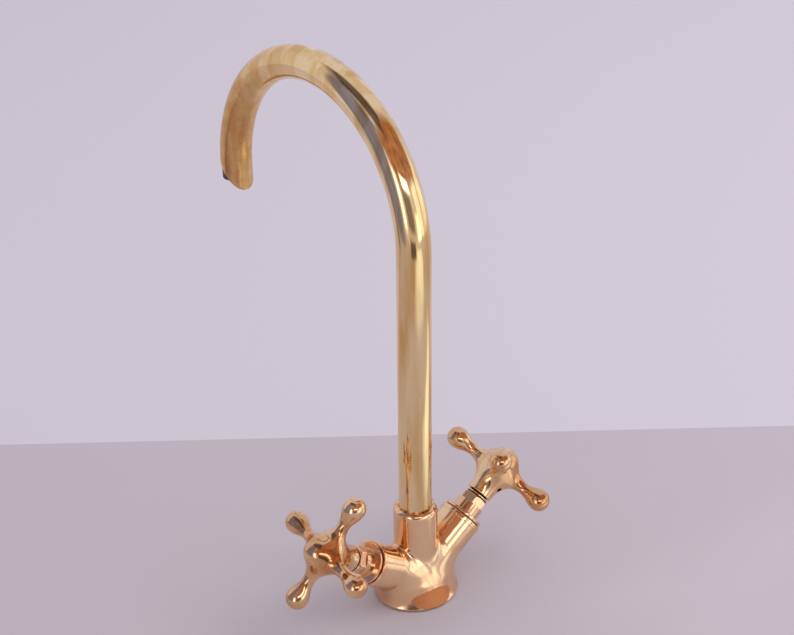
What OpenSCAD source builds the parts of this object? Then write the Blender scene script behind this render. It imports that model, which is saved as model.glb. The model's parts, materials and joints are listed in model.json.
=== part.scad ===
// Two-handle gooseneck kitchen mixer tap in polished brass, in millimetres.
// +Z is up. The origin is the centre of the base's underside, where it meets the worktop.
// The spout points along -Y. The hot branch rises towards -X and the cold branch towards +X.
// On a branch, u is the distance from the point where its axis crosses the body's axis.

/* [Body] */
// Greatest diameter of the bell-shaped base
base_d = 56.8; // [56:0.2:60]
// Diameter of the flat foot that rests on the worktop
foot_d = 53.4; // [52:0.2:55]
// Height at which the base is widest
base_edge_h = 2; // [1:0.5:4]
// Height at which the bell runs into the collar
bell_h = 50; // [47:0.5:55]
// Diameter of the collar that holds the spout
collar_d = 29.5; // [28:0.1:32]
// Height of the collar's rim, where its shoulder starts
collar_h = 63.8; // [62:0.2:70]
// Height of the rounded shoulder above the collar's rim
shoulder_h = 4.2; // [3.6:0.1:5]
// Wall left round the spout at the top of the shoulder
mouth_wall = 1.2; // [0.8:0.1:1.8]

/* [Branches] */
// Angle of both branches above the horizontal
branch_angle = 35.5; // [33:0.5:38]
// Height at which the branch axes meet the body's axis
branch_h = 10.5; // [9:0.5:12]
// Diameter of a branch
branch_d = 29.6; // [28:0.2:30.2]
// Distance from the body's axis to a branch's end face
branch_len = 50.5; // [48.5:0.5:56]
// Diameter of the bead round a branch's end
bead_d = 30.6; // [30.4:0.2:32]
// Width of that bead
bead_w = 3.2; // [2.4:0.2:4]
// Diameter of the flare at a branch's root
root_d = 34; // [31:0.5:36]

/* [Waterways] */
// Distance from the body's axis to a valve chamber's floor
chamber_u = 24; // [23:0.5:25]
// Diameter of a valve chamber
chamber_d = 18.8; // [18.2:0.1:19.4]
// Bore of a valve seat
seat_bore_d = 8.4; // [7.6:0.1:9]
// Width of the seat's raised ring
seat_ring_w = 1.8; // [1.4:0.1:2]
// Height of the seat's raised ring
seat_ring_h = 2; // [1.4:0.1:2.4]
// Diameter of the well under the spout
well_d = 14; // [12:0.2:15]
// Height of that well's floor
well_floor_h = 12.5; // [12.2:0.1:14]
// Core diameter of the threaded inlets for M10 x 1 tails
inlet_d = 9; // [8:0.1:9.4]
// Depth of the threaded inlets
inlet_depth = 12; // [10:0.5:12]
// Sideways distance of an inlet from the body's axis
inlet_x = 10; // [9.6:0.1:11]
// Distance of the inlets in front of the body's axis
inlet_y = 8; // [7.5:0.1:9]
// Diameter of the cast passage from an inlet to its valve chamber
passage_d = 5.5; // [4.6:0.1:5.8]
// Core diameter of the threaded hole for an M8 fixing stud
stud_d = 6.8; // [5:0.1:7]
// Depth of the stud hole
stud_depth = 10; // [8:0.5:11]
// Distance of the stud hole behind the body's axis
stud_y = 12; // [11.6:0.2:13.4]

/* [Base gasket] */
// Mean diameter of the gasket in the underside
gasket_d = 45.6; // [45:0.2:46.4]
// Width of the gasket
gasket_w = 3.4; // [2.6:0.1:4]
// Thickness of the gasket
gasket_t = 2.1; // [1.6:0.1:2.6]

/* [Spout] */
// Outer diameter of the spout tube
tube_d = 22; // [21:0.1:22.6]
// Wall of the spout tube
tube_wall = 1; // [0.8:0.1:1.4]
// Height at which the riser runs into the bend
bend_h = 251.5; // [180:0.5:320]
// Radius of the half-circle bend at the middle of the tube
bend_r = 95; // [80:1:120]
// Drop from the end of the bend to the middle of the cut
tip_drop = 4; // [3:0.1:8]
// Angle of the slanted cut to the horizontal
tip_angle = 50.5; // [35:0.5:52]
// Depth of the tube's lower end in the collar's mouth
tube_seat = 0.5; // [0.3:0.1:0.8]
// Height of the socket's floor, which carries the spout
socket_floor_h = 41; // [40:0.5:43]

/* [Spigot] */
// Length of the spigot's tenon inside the tube
tenon_len = 14.5; // [10:0.5:20]
// Bore of the spigot
spigot_bore_d = 15; // [14:0.1:16]
// Thickness of the thrust ring
thrust_t = 1.15; // [0.8:0.05:1.6]
// Cord diameter of the spout O-rings
o_ring_cord = 1.96; // [1.6:0.02:2.1]
// Height of the lower spout O-ring above the spigot's end
o_ring_low = 5.6; // [4.5:0.1:6]
// Distance between the two spout O-rings
o_ring_pitch = 6.5; // [5:0.1:7]
// Depth of the spigot's retaining groove
retainer_depth = 2; // [1.8:0.1:2.4]
// Height of the retaining groove
retainer_groove_h = 5; // [4.8:0.1:5.4]

/* [Retaining screw] */
// Direction of the retaining screw, counterclockwise from +X seen from above
retainer_azimuth = 122; // [0:1:360]
// Angle of the retaining screw above the horizontal
retainer_tilt = 45; // [42:1:48]
// Diameter of the retaining screw's thread
retainer_d = 2.9; // [2.4:0.1:3]
// Diameter of its rounded head
retainer_head_d = 4; // [3.6:0.1:4.6]
// Height of its head above the shoulder
retainer_head_h = 1.1; // [0.8:0.1:1.4]

/* [Aerator] */
// Distance of the housing's level end below the middle of the cut
housing_drop = 6; // [4:0.1:8]
// Wall of the housing
housing_wall = 1.85; // [1.5:0.05:2.2]
// Angle of the bend that the housing's inner end reaches into
housing_arc = 8; // [7:0.5:12]
// Width of the ledge that the inserts seat against
ledge_w = 1; // [0.7:0.1:1.4]
// Thickness of the flow straightener
straightener_t = 3; // [2:0.1:3.2]
// Diameter of the flow straightener's holes
straightener_hole_d = 2; // [1.6:0.1:2.3]
// Distance between the flow straightener's holes
straightener_pitch = 2.9; // [2.8:0.1:3.2]
// Thickness of the screen
screen_t = 0.5; // [0.4:0.05:0.6]
// Diameter of the screen's holes
screen_hole_d = 1.1; // [0.8:0.1:1.3]
// Distance between the screen's holes
screen_pitch = 1.75; // [1.7:0.05:2.1]

/* [Bonnets] */
// Thickness of the gasket under a bonnet
bonnet_gasket_t = 0.8; // [0.6:0.1:1.2]
// Diameter of a bonnet's flange
flange_d = 27.8; // [26.6:0.1:28.6]
// Thickness of a bonnet's flange
flange_t = 2; // [1.6:0.1:2.6]
// Diameter of the round stage above the flange
stage_d = 19; // [18.2:0.1:19.4]
// Length of the round stage
stage_len = 7.7; // [6:0.1:9]
// Size of the hexagon across its flats
hex_flats = 17; // [16:0.5:18]
// Length of the hexagon
hex_len = 6; // [5.5:0.1:7]
// Height of the hexagon's chamfer
hex_chamfer = 1.3; // [0.8:0.1:1.6]
// Diameter of the bonnet's thread
thread_d = 20.3; // [20:0.1:20.8]
// Length of the bonnet's thread inside the branch
thread_len = 14; // [13.4:0.1:14.4]
// Turn of the hot bonnet's hexagon about its axis
hot_hex_turn = 97; // [0:1:360]
// Turn of the cold bonnet's hexagon about its axis
cold_hex_turn = 30; // [0:1:360]

/* [Gland] */
// Diameter of the gland nut's thread
gland_thread_d = 13.2; // [12.6:0.1:13.6]
// Length of the gland nut's thread
gland_thread_len = 4.4; // [3.5:0.1:5]
// Thickness of the gland packing
packing_t = 2; // [1.5:0.1:2.5]
// Diameter of the gland nut's neck
gland_neck_d = 14; // [13.8:0.1:15]
// Length of that neck between the hexagon and the rim
gland_neck_len = 1.2; // [0.8:0.1:1.8]
// Diameter of the gland nut's rim
gland_rim_d = 16; // [15.4:0.1:17]
// Thickness of the rim
gland_rim_t = 1.2; // [0.8:0.1:1.8]
// Height of the boss above the rim
gland_boss_h = 1.2; // [0.8:0.1:1.6]

/* [Spindles] */
// Diameter of a spindle's journal
journal_d = 9; // [8.6:0.1:9.6]
// Diameter of a spindle's thrust flange
spindle_flange_d = 11.8; // [11.2:0.1:11.9]
// Thickness of the thrust flange
spindle_flange_t = 2.05; // [1.6:0.05:2.4]
// Diameter of a spindle's threaded stem
stem_d = 7.8; // [7:0.1:8]
// Lead of the stem's thread, which is the lift in one turn
stem_lead = 2; // [1.5:0.1:2]
// Angle of a handle's whole turn, in degrees
handle_turn = 840; // [360:30:840]
// Size across the corners of the twelve-sided spline
spline_d = 7.8; // [7:0.1:8.2]
// Length of the spline inside the handle
spline_len = 9.5; // [8:0.5:12]
// Cord diameter of a spindle's O-rings
spindle_cord = 1.16; // [1:0.02:1.3]
// Distance between a spindle's two O-rings
spindle_o_ring_pitch = 3.6; // [3:0.1:4]

/* [Valve carriers] */
// Size of a carrier's hexagonal shank across its flats
carrier_flats = 12; // [11.9:0.1:12.6]
// Length of the shank
carrier_len = 11.7; // [11.2:0.1:12]
// Diameter of the plate that holds the washer
plate_d = 14.4; // [14:0.1:15]
// Thickness of that plate
plate_t = 2; // [1.6:0.1:2.2]
// Height of the lip round the washer
plate_lip = 1.3; // [0.8:0.1:1.8]
// Diameter of the rubber washer
washer_d = 12.4; // [12.2:0.1:12.8]
// Thickness of the rubber washer
washer_t = 3; // [2.4:0.1:3.4]
// Diameter of the washer screw's thread
washer_screw_d = 3.2; // [2.8:0.1:3.6]
// Length of the washer screw's thread
washer_screw_len = 6.3; // [5.6:0.1:6.6]
// Diameter of the washer screw's head
washer_head_d = 6.8; // [6:0.1:7]
// Height of the washer screw's head
washer_head_h = 1.3; // [1:0.1:1.6]

/* [Handles] */
// Diameter of the handle's skirt
skirt_d = 17.6; // [17.2:0.1:19]
// Distance from the skirt's rim to the middle of the arms
skirt_len = 21.7; // [20.8:0.1:23]
// Gap between the skirt's rim and the gland nut's rim
skirt_gap = 0.4; // [0.3:0.1:1]
// Wall of the skirt at its rim
skirt_wall = 1.4; // [1.2:0.05:1.6]
// Depth of the recess in the skirt
skirt_recess = 4.7; // [4:0.1:5.2]
// Radius of the dome on the hub
nose_r = 7.6; // [7:0.1:8.6]
// Height of the dome's centre above the middle of the arms
nose_h = 9; // [8:0.1:10]
// Radius of the hub where the arms cross
hub_r = 10.4; // [9.8:0.1:12]
// Distance from the handle's axis to the centre of an arm's ball
arm_r = 35; // [33:0.5:40]
// Diameter of an arm's ball
ball_d = 15.2; // [14:0.1:17]
// Diameter of an arm's neck
neck_d = 8.1; // [7.2:0.1:9]
// Distance from the handle's axis to the neck
neck_r = 20.5; // [19:0.1:22]
// Radius that the arm's root would have at the handle's axis
arm_root_r = 14.3; // [12.5:0.1:15]
// Turn of the hot handle at rest, seen along its axis
hot_turn = 215; // [0:1:360]
// Turn of the cold handle at rest, seen along its axis
cold_turn = 81.7; // [0:0.1:360]
// Diameter of a handle's grub screw
grub_d = 2.9; // [2.4:0.1:3.2]
// Distance from the skirt's rim to the grub screw
grub_u = 10; // [9:0.1:10.8]
// Turn of the grub screw from the first arm
grub_turn = 157.2; // [0:0.1:360]
// Depth of the grub screw's end below the skirt's surface
grub_sink = 0.9; // [0.5:0.1:1.4]
// Size of the grub screw's hexagonal socket across its flats
grub_key = 1.5; // [1.2:0.1:1.5]

/* [Fits] */
// Radial clearance of a part that turns or slides
run_fit = 0.05; // [0.02:0.01:0.08]
// Radial clearance of a part that is fixed in its seat
seat_fit = 0.04; // [0.02:0.01:0.06]
// Gap that a soft or sealing face keeps from its seat at rest
soft_gap = 0.3; // [0.2:0.05:0.4]

/* [Hidden] */
$fn = 72;
hot_side = -1;
cold_side = 1;
// Overlap by which a cut runs past the surface that it opens
past = 1;
brass = [0.85, 0.65, 0.38];
cast_brass = [0.83, 0.60, 0.42];
raw_brass = [0.72, 0.58, 0.32];
black_plastic = [0.07, 0.07, 0.07];
white_plastic = [0.90, 0.90, 0.86];
steel = [0.70, 0.71, 0.72];
rubber = [0.12, 0.12, 0.13];
fibre = [0.45, 0.20, 0.14];

// Body, from the spout's sizes
tube_r = tube_d / 2;
tube_bore_r = tube_r - tube_wall;
socket_r = tube_r + run_fit;
mouth_h = collar_h + shoulder_h;
mouth_r = socket_r + mouth_wall;
collar_r = collar_d / 2;
base_r = base_d / 2;
foot_r = foot_d / 2;

// Spout
tube_bottom_h = mouth_h - tube_seat;
cut_h = bend_h - tip_drop;
cut_reach = 2 * tube_r;
thrust_bottom_h = socket_floor_h + run_fit;
// Room that an O-ring has along its groove
groove_play = 0.4;
spigot_bottom_h = thrust_bottom_h + thrust_t;
o_ring_mean_r = tube_r - run_fit - o_ring_cord / 2;
o_ring_groove_w = o_ring_cord + groove_play;
o_ring_groove_r = o_ring_mean_r - o_ring_cord / 2 - seat_fit;

// Reach of the bell's curve along its side, outwards and upwards, at the foot and at the collar
foot_pull = [-15, 24.6];
collar_pull = [-2, -16.2];
// Rounding of the bead's edges
bead_edge = 1;

// Retaining screw: its axis meets the shoulder's surface at retainer_tilt along the ellipse
shoulder_w = collar_r - mouth_r;
retainer_r = mouth_r + shoulder_w * cos(retainer_tilt);
retainer_h = collar_h + shoulder_h * sin(retainer_tilt);
retainer_bite = 0.7;
retainer_tip_r = socket_r - retainer_bite;
retainer_len = (retainer_r - retainer_tip_r) / cos(retainer_tilt);
groove_wall = 0.9;
groove_top_h = tube_bottom_h - groove_wall;
retainer_groove_r = tube_r - retainer_depth;

// Aerator
housing_r = tube_bore_r - seat_fit;
housing_bore_r = housing_r - housing_wall;
insert_r = housing_bore_r - seat_fit;
housing_end_h = cut_h - housing_drop;
// Distance of the screen behind the housing's level end
insert_back = 0.5;
// Width of the solid rim round the holes of the straightener and of the screen
straightener_rim = 0.8;
screen_rim = 0.6;
screen_h = housing_end_h + insert_back;
straightener_h = screen_h + screen_t + seat_fit;
ledge_h = straightener_h + straightener_t + seat_fit;

// Headwork, as distances u along a branch
chamber_r = chamber_d / 2;
seat_bore_r = seat_bore_d / 2;
seat_u = chamber_u + seat_ring_h;
// Distance that the passage from the inlet ends above the chamber's floor
passage_over = 1.6;
// Relief below the bonnet's thread
thread_relief = 2;
// Bevel of a bonnet's flange, and extra width of its hexagon's chamfer
bonnet_edge = 0.5;
chamfer_extra = 0.3;
// Step from the flange's edge in to the gasket's
gasket_step = 0.8;
// Step from the gland nut's thread in to its boss
boss_step = 0.4;
thread_r = thread_d / 2;
thread_bore_r = thread_r + seat_fit;
flange_u = branch_len + bonnet_gasket_t;
barrel_u = branch_len - thread_len;
stage_u = flange_u + flange_t;
hex_u = stage_u + stage_len;
hex_top_u = hex_u + hex_len;
gland_rim_u = hex_top_u + gland_neck_len;
gland_boss_u = gland_rim_u + gland_rim_t;
gland_top_u = gland_boss_u + gland_boss_h;
skirt_u = gland_boss_u + skirt_gap;
cross_u = skirt_u + skirt_len;
journal_r = journal_d / 2;
journal_bore_r = journal_r + run_fit;
// Distance that a spindle's journal reaches out of the gland nut
journal_over = 1;
journal_top_u = gland_top_u + journal_over;
gland_bore_r = gland_thread_d / 2 + seat_fit;
packing_u = hex_top_u - gland_thread_len - packing_t - seat_fit;

// Valve carrier and spindle, from the washer upwards
valve_lift = stem_lead * handle_turn / 360;
end_gap = 0.5;
washer_u = seat_u + soft_gap;
plate_u = washer_u + washer_t;
shank_u = plate_u + plate_t;
shank_top_u = shank_u + carrier_len;
spindle_flange_u = shank_top_u + valve_lift + end_gap;
journal_u = spindle_flange_u + spindle_flange_t;
stem_pocket_u = plate_u + washer_screw_len - washer_t + seat_fit;
stem_u = stem_pocket_u + valve_lift + end_gap;
spindle_flange_r = spindle_flange_d / 2;
guide_top_u = spindle_flange_u - end_gap / 2;
spline_top_u = skirt_u + skirt_recess + spline_len;
o_ring_land = 3.4;
o_ring_u = journal_u + o_ring_land;
spindle_groove_w = spindle_cord + groove_play;
spindle_o_ring_r = journal_r - spindle_cord / 2 - seat_fit / 2;
spindle_groove_r = spindle_o_ring_r - spindle_cord / 2 - seat_fit / 2;
carrier_corner_r = carrier_flats / 2 / cos(30);
guide_corner_r = (carrier_flats / 2 + run_fit) / cos(30);

// Handle
skirt_r = skirt_d / 2;
ball_r = ball_d / 2;
neck_w = neck_d / 2;
// Distance below the arms at which the hub starts to swell, and the reach of its curve
hub_low = 7;
hub_curve = [3, 5];
hub_lean = 0.2;
// Distance from the axis at which an arm's profile starts
arm_start = 3;
// Reach of the arm's curve at its neck, and inwards from its ball
neck_pull = 3;
ball_pull = [1.6, 1.5];
// Depth of the grub screw's hexagonal socket
key_depth = 1.5;
curve_steps = 8;

// Point at t on the cubic curve with the four given control points
function cubic(a, b, c, d, t) =
    a * pow(1 - t, 3) + 3 * b * pow(1 - t, 2) * t + 3 * c * (1 - t) * t * t + d * pow(t, 3);

// Points on a quarter ellipse about (x, y), from the angle a0 to the angle a1
function arc_points(x, y, rx, ry, a0, a1, steps) =
    [for (i = [0 : steps]) let (a = a0 + (a1 - a0) * i / steps) [x + rx * cos(a), y + ry * sin(a)]];

// Radius of an arm at the distance s from the handle's axis, as far as the neck
function arm_root(s) = neck_w + (arm_root_r - neck_w) * pow((neck_r - s) / neck_r, 2.4);

// Places a part on a branch, with the branch's axis as its Z
module on_branch(side) {
    translate([0, 0, branch_h])
        rotate([0, side * (90 - branch_angle), 0])
            children();
}

// Round bar along Z from the height from_h to the height to_h
module bar(r, from_h, to_h) {
    translate([0, 0, from_h])
        cylinder(r = r, h = to_h - from_h);
}

// Round bar between two points
module rod(r, p, q) {
    d = q - p;
    translate(p)
        rotate([0, acos(d.z / norm(d)), atan2(d.y, d.x)])
            cylinder(r = r, h = norm(d));
}

// Ring of round section about Z
module o_ring(mean_r, cord, h) {
    translate([0, 0, h])
        rotate_extrude()
            translate([mean_r, 0])
                circle(d = cord, $fn = 32);
}

// Solid bell with its rounded foot edge, collar and shoulder
module bell() {
    side_steps = 12;
    foot_arc = arc_points(foot_r, base_edge_h, base_r - foot_r, base_edge_h, -90, 0, 5);
    side = [for (i = [1 : side_steps])
        cubic([base_r, base_edge_h], [base_r, base_edge_h] + foot_pull,
            [collar_r, bell_h] + collar_pull, [collar_r, bell_h], i / side_steps)];
    shoulder = arc_points(mouth_r, collar_h, shoulder_w, shoulder_h, 0, 90, 6);
    rotate_extrude()
        polygon(concat([[0, 0]], foot_arc, side, shoulder, [[0, mouth_h]]));
}

// Solid branch with its flared root and the bead round its end
module branch() {
    root_u = branch_len * 0.24;
    root_end_u = branch_len * 0.68;
    bar(branch_d / 2, chamber_u / 2, branch_len - bead_w / 2);
    translate([0, 0, root_u])
        cylinder(r1 = root_d / 2, r2 = branch_d / 2, h = root_end_u - root_u);
    rotate_extrude()
        polygon(concat([[0, branch_len - bead_w]],
            arc_points(bead_d / 2 - bead_edge, branch_len - bead_w + bead_edge,
                bead_edge, bead_edge, -90, 0, 4),
            arc_points(bead_d / 2 - bead_edge, branch_len - bead_edge,
                bead_edge, bead_edge, 0, 90, 4),
            [[0, branch_len]]));
}

// Valve chamber, thread and seat bore of one branch, as the space to cut out
module valve_space() {
    difference() {
        bar(chamber_r, chamber_u, barrel_u);
        bar(seat_bore_r + seat_ring_w, chamber_u - past, seat_u);
    }
    bar(thread_bore_r, barrel_u - thread_relief, branch_len + past);
    bar(seat_bore_r, well_d / 2 - past, seat_u + past);
}

// Inlet and the passage from it to the lower front of the valve chamber
module inlet_space(side) {
    wall_r = chamber_r * 0.94;
    drop = cos(branch_angle) * wall_r * 0.44;
    out = sin(branch_angle) * wall_r * 0.44;
    end_u = chamber_u + passage_over;
    translate([side * inlet_x, -inlet_y, -past])
        cylinder(d = inlet_d, h = inlet_depth + past);
    rod(passage_d / 2,
        [side * inlet_x, -inlet_y, inlet_depth - passage_d / 2],
        [side * (end_u * cos(branch_angle) + out), -wall_r * 0.9,
            branch_h + end_u * sin(branch_angle) - drop]);
}

// Places the retaining screw's axis: Z points outwards, and 0 is on the shoulder's surface
module on_retainer_axis() {
    rotate([0, 0, retainer_azimuth])
        translate([retainer_r, 0, retainer_h])
            rotate([0, 90 - retainer_tilt, 0])
                children();
}

module body() {
    color(cast_brass)
        difference() {
            union() {
                bell();
                for (side = [hot_side, cold_side])
                    on_branch(side) branch();
            }
            bar(socket_r, socket_floor_h, mouth_h + past);
            bar(well_d / 2, well_floor_h, socket_floor_h + past);
            for (side = [hot_side, cold_side]) {
                on_branch(side) valve_space();
                inlet_space(side);
            }
            translate([0, stud_y, -past])
                cylinder(d = stud_d, h = stud_depth + past);
            difference() {
                bar(gasket_d / 2 + gasket_w / 2 + seat_fit, -past, gasket_t + seat_fit);
                bar(gasket_d / 2 - gasket_w / 2 - seat_fit, -2 * past, gasket_t + past);
            }
            on_retainer_axis()
                bar(retainer_d / 2 + seat_fit, -retainer_len, past + shoulder_w);
        }
}

module base_gasket() {
    color(rubber)
        difference() {
            bar(gasket_d / 2 + gasket_w / 2, 0, gasket_t);
            bar(gasket_d / 2 - gasket_w / 2, -past, gasket_t + past);
        }
}

// Riser, bend and drop of radius r, from the height from_h to the drop's lower end
module spout_run(r, from_h, to_h, arc_from) {
    if (arc_from == 0)
        bar(r, from_h, bend_h);
    translate([0, -bend_r, bend_h])
        rotate([0, 0, 90])
            rotate([90, 0, 0])
                rotate_extrude(angle = 180 - arc_from, start = arc_from)
                    translate([bend_r, 0])
                        circle(r = r);
    translate([0, -2 * bend_r, 0])
        bar(r, to_h, bend_h);
}

// Everything beyond the slanted cut
module beyond_cut() {
    size = 4 * cut_reach;
    translate([0, -2 * bend_r, cut_h])
        rotate([-tip_angle, 0, 0])
            translate([-size / 2, -size / 2, -size])
                cube(size);
}

module spout_tube() {
    low_h = cut_h - cut_reach;
    color(brass)
        difference() {
            spout_run(tube_r, tube_bottom_h, low_h, 0);
            spout_run(tube_bore_r, tube_bottom_h - past, low_h - past, 0);
            beyond_cut();
        }
}

module spout_spigot() {
    color(raw_brass)
        difference() {
            union() {
                bar(tube_r, spigot_bottom_h, tube_bottom_h);
                bar(tube_bore_r - seat_fit, tube_bottom_h - past, tube_bottom_h + tenon_len);
            }
            bar(spigot_bore_d / 2, spigot_bottom_h - past, tube_bottom_h + tenon_len + past);
            for (h = [o_ring_low, o_ring_low + o_ring_pitch])
                difference() {
                    bar(tube_r + past, spigot_bottom_h + h - o_ring_groove_w / 2,
                        spigot_bottom_h + h + o_ring_groove_w / 2);
                    bar(o_ring_groove_r, spigot_bottom_h, mouth_h);
                }
            difference() {
                bar(tube_r + past, groove_top_h - retainer_groove_h, groove_top_h);
                bar(retainer_groove_r, spigot_bottom_h, mouth_h);
            }
        }
}

module spout_o_rings() {
    color(rubber)
        for (h = [o_ring_low, o_ring_low + o_ring_pitch])
            o_ring(o_ring_mean_r, o_ring_cord, spigot_bottom_h + h);
}

module spout_thrust_ring() {
    color(white_plastic)
        difference() {
            bar(tube_r - 2 * run_fit, thrust_bottom_h, spigot_bottom_h);
            bar(spigot_bore_d / 2 + run_fit, thrust_bottom_h - past, spigot_bottom_h + past);
        }
}

module spout_retaining_screw() {
    dome_r = (pow(retainer_head_d / 2, 2) + pow(retainer_head_h, 2)) / (2 * retainer_head_h);
    color(brass)
        on_retainer_axis() {
            bar(retainer_d / 2, -retainer_len, seat_fit);
            intersection() {
                translate([0, 0, retainer_head_h - dome_r])
                    sphere(r = dome_r);
                bar(retainer_head_d / 2, 0, retainer_head_h);
            }
        }
}

module aerator_housing() {
    color(black_plastic)
        difference() {
            spout_run(housing_r, 0, housing_end_h, 180 - housing_arc);
            translate([0, -2 * bend_r, 0]) {
                bar(housing_bore_r, housing_end_h - past, ledge_h);
                bar(housing_bore_r - ledge_w, ledge_h - past, bend_h + bend_r / 2);
            }
        }
}

// Level disc with holes in rows 60 degrees apart, as many as fit inside its rim
module sieve(r, t, hole_d, pitch, rim) {
    rows = ceil(r / pitch);
    difference() {
        bar(r, 0, t);
        for (i = [-rows : rows])
            for (j = [-rows : rows])
                let (x = pitch * (i + j / 2), y = pitch * j * sin(60))
                    if (norm([x, y]) < r - rim - hole_d / 2)
                        translate([x, y, -past])
                            cylinder(d = hole_d, h = t + 2 * past, $fn = 24);
    }
}

module flow_straightener() {
    color(white_plastic)
        translate([0, -2 * bend_r, straightener_h])
            sieve(insert_r, straightener_t, straightener_hole_d, straightener_pitch,
                straightener_rim);
}

module aerator_screen() {
    color(steel)
        translate([0, -2 * bend_r, screen_h])
            sieve(insert_r, screen_t, screen_hole_d, screen_pitch, screen_rim);
}

// Bonnet in the branch's frame, with its hexagon's first flat at the given turn from +Y
module bonnet(hex_turn) {
    hex_r = hex_flats / 2 / cos(30);
    chamfer_w = hex_r - hex_flats / 2 + chamfer_extra;
    color(cast_brass)
        difference() {
            union() {
                bar(thread_r, barrel_u, flange_u + bonnet_edge);
                rotate_extrude()
                    polygon([[0, flange_u], [flange_d / 2 - bonnet_edge, flange_u],
                        [flange_d / 2, flange_u + bonnet_edge],
                        [flange_d / 2, stage_u - bonnet_edge],
                        [flange_d / 2 - bonnet_edge, stage_u], [0, stage_u]]);
                bar(stage_d / 2, stage_u - bonnet_edge, hex_u + bonnet_edge);
                intersection() {
                    rotate([0, 0, hex_turn])
                        translate([0, 0, hex_u])
                            cylinder(r = hex_r, h = hex_len, $fn = 6);
                    rotate_extrude()
                        polygon([[0, hex_u], [hex_r + past, hex_u],
                            [hex_r + past, hex_top_u - hex_chamfer],
                            [hex_r, hex_top_u - hex_chamfer], [hex_r - chamfer_w, hex_top_u],
                            [0, hex_top_u]]);
                }
            }
            translate([0, 0, barrel_u - past])
                cylinder(r = guide_corner_r, h = guide_top_u - barrel_u + past, $fn = 6);
            bar(spindle_flange_r + run_fit, guide_top_u - past, journal_u + run_fit);
            bar(journal_bore_r, journal_u - past, hex_top_u);
            bar(gland_bore_r, packing_u - seat_fit, hex_top_u + past);
        }
}

module bonnet_gasket() {
    color(fibre)
        difference() {
            bar(flange_d / 2 - gasket_step, branch_len, flange_u);
            bar(thread_r + seat_fit, branch_len - past, flange_u + past);
        }
}

module gland_nut() {
    color(brass)
        difference() {
            union() {
                bar(gland_thread_d / 2, hex_top_u - gland_thread_len, hex_top_u + seat_fit);
                bar(gland_neck_d / 2, hex_top_u, gland_rim_u);
                bar(gland_rim_d / 2, gland_rim_u, gland_boss_u);
                bar(gland_thread_d / 2 - boss_step, gland_boss_u, gland_top_u);
            }
            bar(journal_bore_r, hex_top_u - gland_thread_len - past, gland_top_u + past);
        }
}

module gland_packing() {
    color(rubber)
        difference() {
            bar(gland_thread_d / 2, packing_u, packing_u + packing_t);
            bar(journal_bore_r, packing_u - past, packing_u + packing_t + past);
        }
}

module spindle() {
    color(raw_brass)
        difference() {
            union() {
                bar(stem_d / 2, stem_u, journal_u);
                bar(spindle_flange_r, spindle_flange_u, journal_u);
                bar(journal_r, journal_u, journal_top_u);
                translate([0, 0, journal_top_u - past])
                    cylinder(r = spline_d / 2, h = spline_top_u - journal_top_u + past, $fn = 12);
            }
            for (k = [0, 1])
                difference() {
                    bar(journal_r + past, o_ring_u + k * spindle_o_ring_pitch - spindle_groove_w / 2,
                        o_ring_u + k * spindle_o_ring_pitch + spindle_groove_w / 2);
                    bar(spindle_groove_r, journal_u, journal_top_u);
                }
        }
}

module spindle_o_rings() {
    color(rubber)
        for (k = [0, 1])
            o_ring(spindle_o_ring_r, spindle_cord, o_ring_u + k * spindle_o_ring_pitch);
}

module valve_carrier() {
    color(raw_brass)
        difference() {
            union() {
                bar(plate_d / 2, plate_u - plate_lip, shank_u);
                translate([0, 0, shank_u - plate_t / 2])
                    cylinder(r = carrier_corner_r, h = carrier_len + plate_t / 2, $fn = 6);
            }
            bar(washer_d / 2 + seat_fit, plate_u - plate_lip - past, plate_u);
            bar(washer_screw_d / 2 + seat_fit, plate_u - past, stem_pocket_u + past);
            bar(stem_d / 2 + run_fit, stem_pocket_u, shank_top_u + past);
        }
}

module valve_washer() {
    color(rubber)
        difference() {
            bar(washer_d / 2, washer_u, plate_u);
            bar(washer_screw_d / 2 + seat_fit, washer_u - past, plate_u + past);
        }
}

module washer_screw() {
    color(raw_brass) {
        bar(washer_head_d / 2, washer_u - washer_head_h, washer_u);
        bar(washer_screw_d / 2, washer_u - washer_head_h / 2, washer_u + washer_screw_len);
    }
}

// One pair of opposite arms along Y: bone-shaped, thick at the hub, with a ball at each end
module arm_pair() {
    ball_start = arm_r - ball_r * cos(50);
    ball_start_r = ball_r * sin(50);
    root = [for (i = [0 : curve_steps])
        let (s = arm_start + (neck_r - arm_start) * i / curve_steps) [arm_root(s), s]];
    swell = [for (i = [1 : curve_steps / 2])
        cubic([neck_w, neck_r], [neck_w, neck_r + neck_pull],
            [ball_start_r, ball_start] - ball_pull,
            [ball_start_r, ball_start], 2 * i / curve_steps)];
    half = concat(root, swell);
    for (end = [0, 180])
        rotate([-90, 0, end]) {
            rotate_extrude()
                polygon(concat([[0, arm_start]], half, [[0, ball_start]]));
            translate([0, 0, arm_r])
                sphere(r = ball_r);
        }
}

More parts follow.
